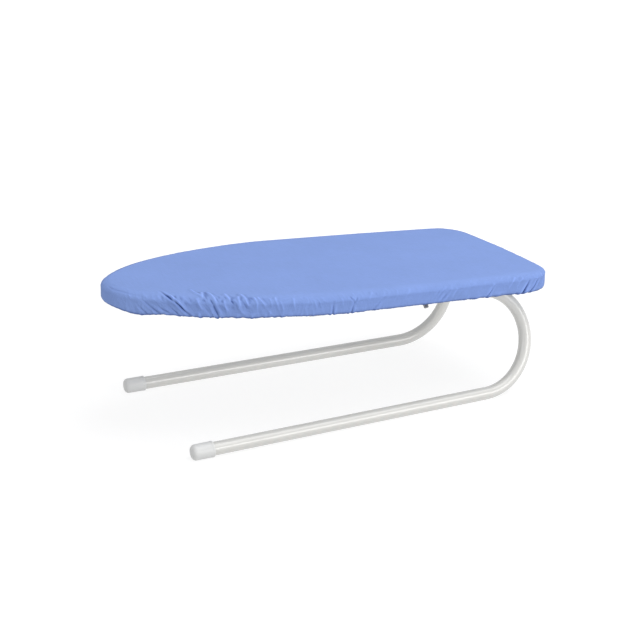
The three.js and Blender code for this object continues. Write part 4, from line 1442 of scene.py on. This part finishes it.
def bumped(tree, height, distance, strength):
    return add_node(tree, "ShaderNodeBump", {"Height": height, "Distance": distance, "Strength": strength})


def paint(tree, shader, colour, tone):
    tree.links.new(toned(tree, colour, tone), shader.inputs["Base Color"])


def emboss(tree, shader, height, distance, strength):
    tree.links.new(bumped(tree, height, distance, strength).outputs[0], shader.inputs["Normal"])


def level_from_pattern(tree, pattern, share, base):
    return maths(tree, "ADD", maths(tree, "MULTIPLY", pattern, share), base)


def painted_edge_shade(tree, blend, power, amount):
    """Painted shade where the surface turns away from the eye, as a change of tone."""
    facing = add_node(tree, "ShaderNodeLayerWeight", {"Blend": blend}).outputs["Facing"]
    return maths(tree, "MULTIPLY", maths(tree, "POWER", facing, power), amount)


def mark_of(tree, name):
    return add_node(tree, "ShaderNodeAttribute", attribute_name=name).outputs["Fac"]


def cotton_material():
    finish, tree, shader = new_material("cornflower_cotton", roughness=0.85)
    flat = add_node(tree, "ShaderNodeUVMap", uv_map="places").outputs[0]
    threads = {"Vector": flat, "Threads per Metre": COTTON_THREADS_PER_METRE}
    weave = add_node(tree, "ShaderNodeGroup", threads, node_tree=WEAVE).outputs
    # The cotton's blue goes towards that navy by the painted shade mark
    cloth = add_node(tree, "ShaderNodeMix", {
        MIX_SHARE: mark_of(tree, "painted_shade"),
        MIX_FIRST_COLOUR: COTTON_BLUE,
        MIX_SECOND_COLOUR: COTTON_PAINTED_SHADE,
    }, data_type="RGBA").outputs[MIXED_COLOUR]
    # Painted shade along the outline, where the cloth turns away from the eye
    edge = painted_edge_shade(tree, blend=0.5, power=12.0, amount=-0.5)
    # Painted highlight on the crests of ridges
    ridge_highlight = maths(tree, "MULTIPLY_ADD", mark_of(tree, "ridge"), RIDGE_HIGHLIGHT_TONE, 1.0)
    tone = maths(tree, "MULTIPLY", weave["Tone"], cloudy(tree, place_of(tree), scale=14.0, spread=0.06))
    tone = maths(tree, "MULTIPLY", maths(tree, "MULTIPLY", tone, ridge_highlight), maths(tree, "ADD", edge, 1.0))
    paint(tree, shader, cloth, tone)
    shader.inputs["Specular IOR Level"].default_value = 0.2
    crepe = add_node(tree, "ShaderNodeTexNoise", {
        "Vector": flat,
        "Scale": 420.0,
        "Detail": 3.0,
        "Distortion": 0.8,
    }).outputs[0]
    crumpled = maths(tree, "MULTIPLY", crepe, mark_of(tree, "skirt"))
    creased = bumped(tree, crumpled, distance=0.0006, strength=0.6)
    woven = bumped(tree, weave["Height"], distance=0.00006, strength=0.6)
    tree.links.new(creased.outputs[0], woven.inputs["Normal"])
    tree.links.new(woven.outputs[0], shader.inputs["Normal"])
    return finish


def thread_material():
    finish, tree, shader = new_material("sewing_thread", roughness=0.7)
    paint(tree, shader, THREAD_BLUE, cloudy(tree, place_of(tree), scale=300.0, spread=0.12))
    return finish


def felt_material():
    finish, tree, shader = new_material("needled_felt", roughness=0.95)
    place = place_of(tree)
    fibres = add_node(tree, "ShaderNodeTexNoise", {
        "Vector": place,
        "Scale": 700.0,
        "Detail": 5.0,
        "Distortion": 2.0,
    }).outputs[0]
    paint(tree, shader, FELT_CREAM, cloudy(tree, place, scale=60.0, spread=0.15))
    emboss(tree, shader, fibres, distance=0.0006, strength=0.8)
    return finish


def elastic_material():
    """White braid with ribs across it."""
    finish, tree, shader = new_material("braided_elastic", roughness=0.75)
    flat = add_node(tree, "ShaderNodeUVMap", uv_map="places").outputs[0]
    run = add_node(tree, "ShaderNodeSeparateXYZ", {0: flat}).outputs["X"]
    swing = maths(tree, "SINE", maths(tree, "MULTIPLY", run, math.pi / BRAID_RIB_PITCH))
    ribs = maths(tree, "ABSOLUTE", swing)
    shade = level_from_pattern(tree, ribs, share=0.25, base=0.75)
    tone = maths(tree, "MULTIPLY", cloudy(tree, place_of(tree), scale=120.0, spread=0.08), shade)
    paint(tree, shader, BRAID_WHITE, tone)
    emboss(tree, shader, ribs, distance=0.0003, strength=0.7)
    return finish


def deck_paint_material():
    """Silver-grey paint with a fine metal flake."""
    finish, tree, shader = new_material("silver_grey_paint", roughness=0.42, metallic=0.35)
    place = place_of(tree)
    flake = add_node(tree, "ShaderNodeTexVoronoi", {"Vector": place, "Scale": 2600.0}).outputs["Distance"]
    sparkle = level_from_pattern(tree, flake, share=0.15, base=0.93)
    tone = maths(tree, "MULTIPLY", cloudy(tree, place, scale=25.0, spread=0.06), sparkle)
    paint(tree, shader, DECK_SILVER, tone)
    emboss(tree, shader, flake, distance=0.00004, strength=0.5)
    return finish


def zinc_material(name, colour):
    """Plated steel with a cloudy grain and rubbed marks."""
    finish, tree, shader = new_material(name, roughness=0.35, metallic=1.0)
    place = place_of(tree)
    cells = add_node(tree, "ShaderNodeTexVoronoi", {"Vector": place, "Scale": 420.0}).outputs["Color"]
    grain = add_node(tree, "ShaderNodeSeparateColor", {0: cells}).outputs[0]
    marks = scuffed(tree, place, scale=180.0, amount=0.5)
    tone = level_from_pattern(tree, grain, share=0.12, base=0.92)
    rub = maths(tree, "MULTIPLY", marks, ZINC_RUB)
    paint(tree, shader, colour, maths(tree, "SUBTRACT", tone, rub))
    matt = level_from_pattern(tree, grain, share=0.12, base=0.28)
    tree.links.new(maths(tree, "ADD", matt, rub), shader.inputs["Roughness"])
    return finish


def white_with_wear_and_edge_shade(tree, shader, colour, clouds, edge, marks, marks_tone, roughness, marks_roughness):
    """A white with painted shade along its edges, dulled and darkened a little where it is rubbed."""
    clean = maths(tree, "SUBTRACT", clouds, edge)
    paint(tree, shader, colour, maths(tree, "SUBTRACT", clean, maths(tree, "MULTIPLY", marks, marks_tone)))
    rubbed = level_from_pattern(tree, marks, share=marks_roughness, base=roughness)
    tree.links.new(rubbed, shader.inputs["Roughness"])
    shader.inputs["Specular IOR Level"].default_value = 0.3


def enamel_material():
    """Baked off-white gloss with a slight orange peel and painted shade along its outline, rubbed dull in thin
    marks.
    """
    finish, tree, shader = new_material("gloss_enamel", roughness=0.30)
    place = place_of(tree)
    white_with_wear_and_edge_shade(
        tree,
        shader,
        ENAMEL_WHITE,
        clouds=cloudy(tree, place, scale=10.0, spread=0.03),
        edge=painted_edge_shade(tree, blend=0.35, power=3.0, amount=0.55),
        marks=scuffed(tree, place, scale=90.0, amount=0.35),
        marks_tone=0.05,
        roughness=0.30,
        marks_roughness=0.3,
    )
    shader.inputs["Coat Weight"].default_value = 0.9
    shader.inputs["Coat Roughness"].default_value = 0.14
    peel = add_node(tree, "ShaderNodeTexNoise", {"Vector": place, "Scale": 520.0, "Detail": 1.0}).outputs[0]
    emboss(tree, shader, peel, distance=0.00004, strength=0.1)
    return finish


def plastic_material():
    """Satin white moulded plastic with painted shade along its outline, lightly scuffed."""
    finish, tree, shader = new_material("satin_plastic", roughness=0.4)
    place = place_of(tree)
    white_with_wear_and_edge_shade(
        tree,
        shader,
        PLASTIC_WHITE,
        clouds=cloudy(tree, place, scale=40.0, spread=0.025),
        edge=painted_edge_shade(tree, blend=0.35, power=3.0, amount=0.35),
        marks=scuffed(tree, place, scale=140.0, amount=0.4),
        marks_tone=0.08,
        roughness=0.36,
        marks_roughness=0.25,
    )
    grain = add_node(tree, "ShaderNodeTexNoise", {"Vector": place, "Scale": 1800.0, "Detail": 2.0}).outputs[0]
    emboss(tree, shader, grain, distance=0.00003, strength=0.4)
    return finish


cotton = cotton_material()
thread = thread_material()
felt = felt_material()
elastic_braid = elastic_material()
deck_paint = deck_paint_material()
bright_zinc = zinc_material("bright_zinc", BRIGHT_ZINC)
dull_zinc = zinc_material("dull_zinc", DULL_ZINC)
enamel = enamel_material()
plastic = plastic_material()

# Pieces on the deck
cover = add_piece(cover_mesh(), "cover_cloth", "deck", cotton, ["cover"])
add_piece(elastic_mesh(), "hem_braid", "deck", elastic_braid, ["hem_elastic"])
add_piece(stitches_mesh(thread), "hem_stitches", "deck", thread)
pad = add_piece(pad_mesh(), "felt_pad", "deck", felt, ["pad"])
add_piece(mesh_top_mesh(deck_paint), "expanded_mesh", "deck", deck_paint, ["mesh_top"])
add_piece(rim_mesh(), "rolled_rim", "deck", deck_paint, ["rim_frame"])
add_piece(rivets_mesh(bright_zinc), "saddle_rivets", "deck", bright_zinc, RIVET_NODES)
for end in ("nose", "front", "rear"):
    bar = f"{end}_cross_member"
    add_piece(softened_mesh(bar), f"{end}_channel", "deck", deck_paint, [bar])

# Pieces on the legs, and the saddles that hold them
for hand, side in (("left", 1), ("right", -1)):
    body = f"{hand}_leg"
    add_piece(leg_mesh(side), f"{hand}_bent_tube", body, enamel, [f"{hand}_leg_tube"])
    add_piece(cap_mesh(side), f"{hand}_end_cap", body, plastic, [f"{hand}_foot_cap"])
    add_piece(plug_mesh(side), f"{hand}_push_plug", body, plastic, [f"{hand}_tube_plug"])
    screw = f"{hand}_stop_screw"
    add_piece(softened_mesh(screw), f"{hand}_hex_screw", body, dull_zinc, [screw])
    for end in ("front", "rear"):
        strap = f"{hand}_{end}_saddle"
        add_piece(softened_mesh(strap), f"{hand}_{end}_strap", "deck", bright_zinc, [strap])


# Camera
def place_camera():
    azimuth = math.radians(CAMERA_AZIMUTH_DEG)
    elevation = math.radians(CAMERA_ELEVATION_DEG)
    level = math.cos(elevation)
    back = Vector((math.sin(azimuth) * level, -math.cos(azimuth) * level, math.sin(elevation)))
    lens = bpy.data.cameras.new("camera")
    lens.sensor_width = SENSOR_WIDTH_MM
    lens.lens = SENSOR_WIDTH_MM * CAMERA_FOCAL_PIXELS / PHOTO_PIXELS
    lens.clip_end = CAMERA_SIGHT_END
    camera = bpy.data.objects.new("camera", lens)
    camera.location = CAMERA_TARGET + back * CAMERA_DISTANCE
    camera.rotation_euler = (-back).to_track_quat("-Z", "Y").to_euler()
    bpy.context.scene.collection.objects.link(camera)
    bpy.context.scene.camera = camera


# Floor and light; each lamp has its place, its size and its watts
FLOOR_SIZE = 40
FLOOR_GREY = 0.30
FLOOR_GLOW_SEEN = 0.81
FLOOR_GLOW_UNDER_DECK = 1.0
FLOOR_GLOW = 0.36
UNDER_DECK_REACH = (0.06, 0.13)
UNDER_DECK_STRETCH = (0.3, 1, 1)
FLOOR_SHADE_REACH = (0.5, 1.4)
WORLD_LEVEL = 0.46
OVERHEAD_LAMP = ((0.75, -0.65, 2.6), (2.2, 2.2), 37)
FRONT_LAMP = ((1.25, -2.6, 0.62), (1.5, 1.1), 26)
NOSE_LAMP = ((-2.3, -1.1, 0.7), (1.2, 1.2), 6)
LAMP_AIM = Vector((0, 0, 0.12))


def level_by_ray(tree, plain, seen):
    """One level for scattered light and another for rays that show a surface, straight or mirrored."""
    path = add_node(tree, "ShaderNodeLightPath").outputs
    mirrored = maths(tree, "MAXIMUM", path["Is Glossy Ray"], path["Is Transmission Ray"])
    shown = maths(tree, "MAXIMUM", path["Is Camera Ray"], mirrored)
    levels = {"Value": shown, "To Min": plain, "To Max": seen}
    return add_node(tree, "ShaderNodeMapRange", levels).outputs["Result"]


def level_by_distance(tree, stretch, reach, near_level, far_level):
    """A level that goes from one value to another with the distance from the middle of the floor."""
    drawn = stretched(tree, place_of(tree), stretch)
    away = add_node(tree, "ShaderNodeVectorMath", {0: drawn}, operation="LENGTH").outputs["Value"]
    levels = {
        "Value": away,
        "From Min": reach[0],
        "From Max": reach[1],
        "To Min": near_level,
        "To Max": far_level,
    }
    return add_node(tree, "ShaderNodeMapRange", levels, interpolation_type="SMOOTHSTEP").outputs["Result"]


def lay_floor():
    half = FLOOR_SIZE / 2
    corners = [(-half, -half, 0), (half, -half, 0), (half, half, 0), (-half, half, 0)]
    mesh = bpy.data.meshes.new("floor")
    mesh.from_pydata(corners, [], [(0, 1, 2, 3)])
    finish = bpy.data.materials.new("white_sweep")
    finish.use_nodes = True
    tree = finish.node_tree
    tree.nodes.clear()
    paper = add_node(tree, "ShaderNodeBsdfDiffuse", {"Color": (FLOOR_GREY, FLOOR_GREY, FLOOR_GREY, 1)})
    seen = level_by_distance(tree, (1, 1, 1), FLOOR_SHADE_REACH, FLOOR_GLOW_SEEN, 1.0)
    plain = level_by_distance(tree, UNDER_DECK_STRETCH, UNDER_DECK_REACH, FLOOR_GLOW_UNDER_DECK, FLOOR_GLOW)
    glow = add_node(tree, "ShaderNodeEmission", {"Strength": level_by_ray(tree, plain, seen)})
    both = add_node(tree, "ShaderNodeAddShader", {0: paper.outputs[0], 1: glow.outputs[0]})
    add_node(tree, "ShaderNodeOutputMaterial", {"Surface": both.outputs[0]})
    mesh.materials.append(finish)
    floor = bpy.data.objects.new("floor", mesh)
    bpy.context.scene.collection.objects.link(floor)


def light_world():
    world = bpy.data.worlds.new("studio")
    bpy.context.scene.world = world
    world.use_nodes = True
    tree = world.node_tree
    background = tree.nodes["Background"]
    background.inputs["Color"].default_value = (1, 1, 1, 1)
    tree.links.new(level_by_ray(tree, WORLD_LEVEL, 1.0), background.inputs["Strength"])


def hang_lamp(name, place, size, watts):
    lamp = bpy.data.lights.new(name, "AREA")
    lamp.energy = watts
    lamp.shape = "RECTANGLE"
    lamp.size, lamp.size_y = size
    holder = bpy.data.objects.new(name, lamp)
    holder.location = place
    holder.rotation_euler = (LAMP_AIM - Vector(place)).to_track_quat("-Z", "Y").to_euler()
    bpy.context.scene.collection.objects.link(holder)


bpy.context.scene.view_settings.view_transform = "Standard"
place_camera()
lay_floor()
light_world()
hang_lamp("overhead", *OVERHEAD_LAMP)
hang_lamp("front", *FRONT_LAMP)
hang_lamp("nose_fill", *NOSE_LAMP)
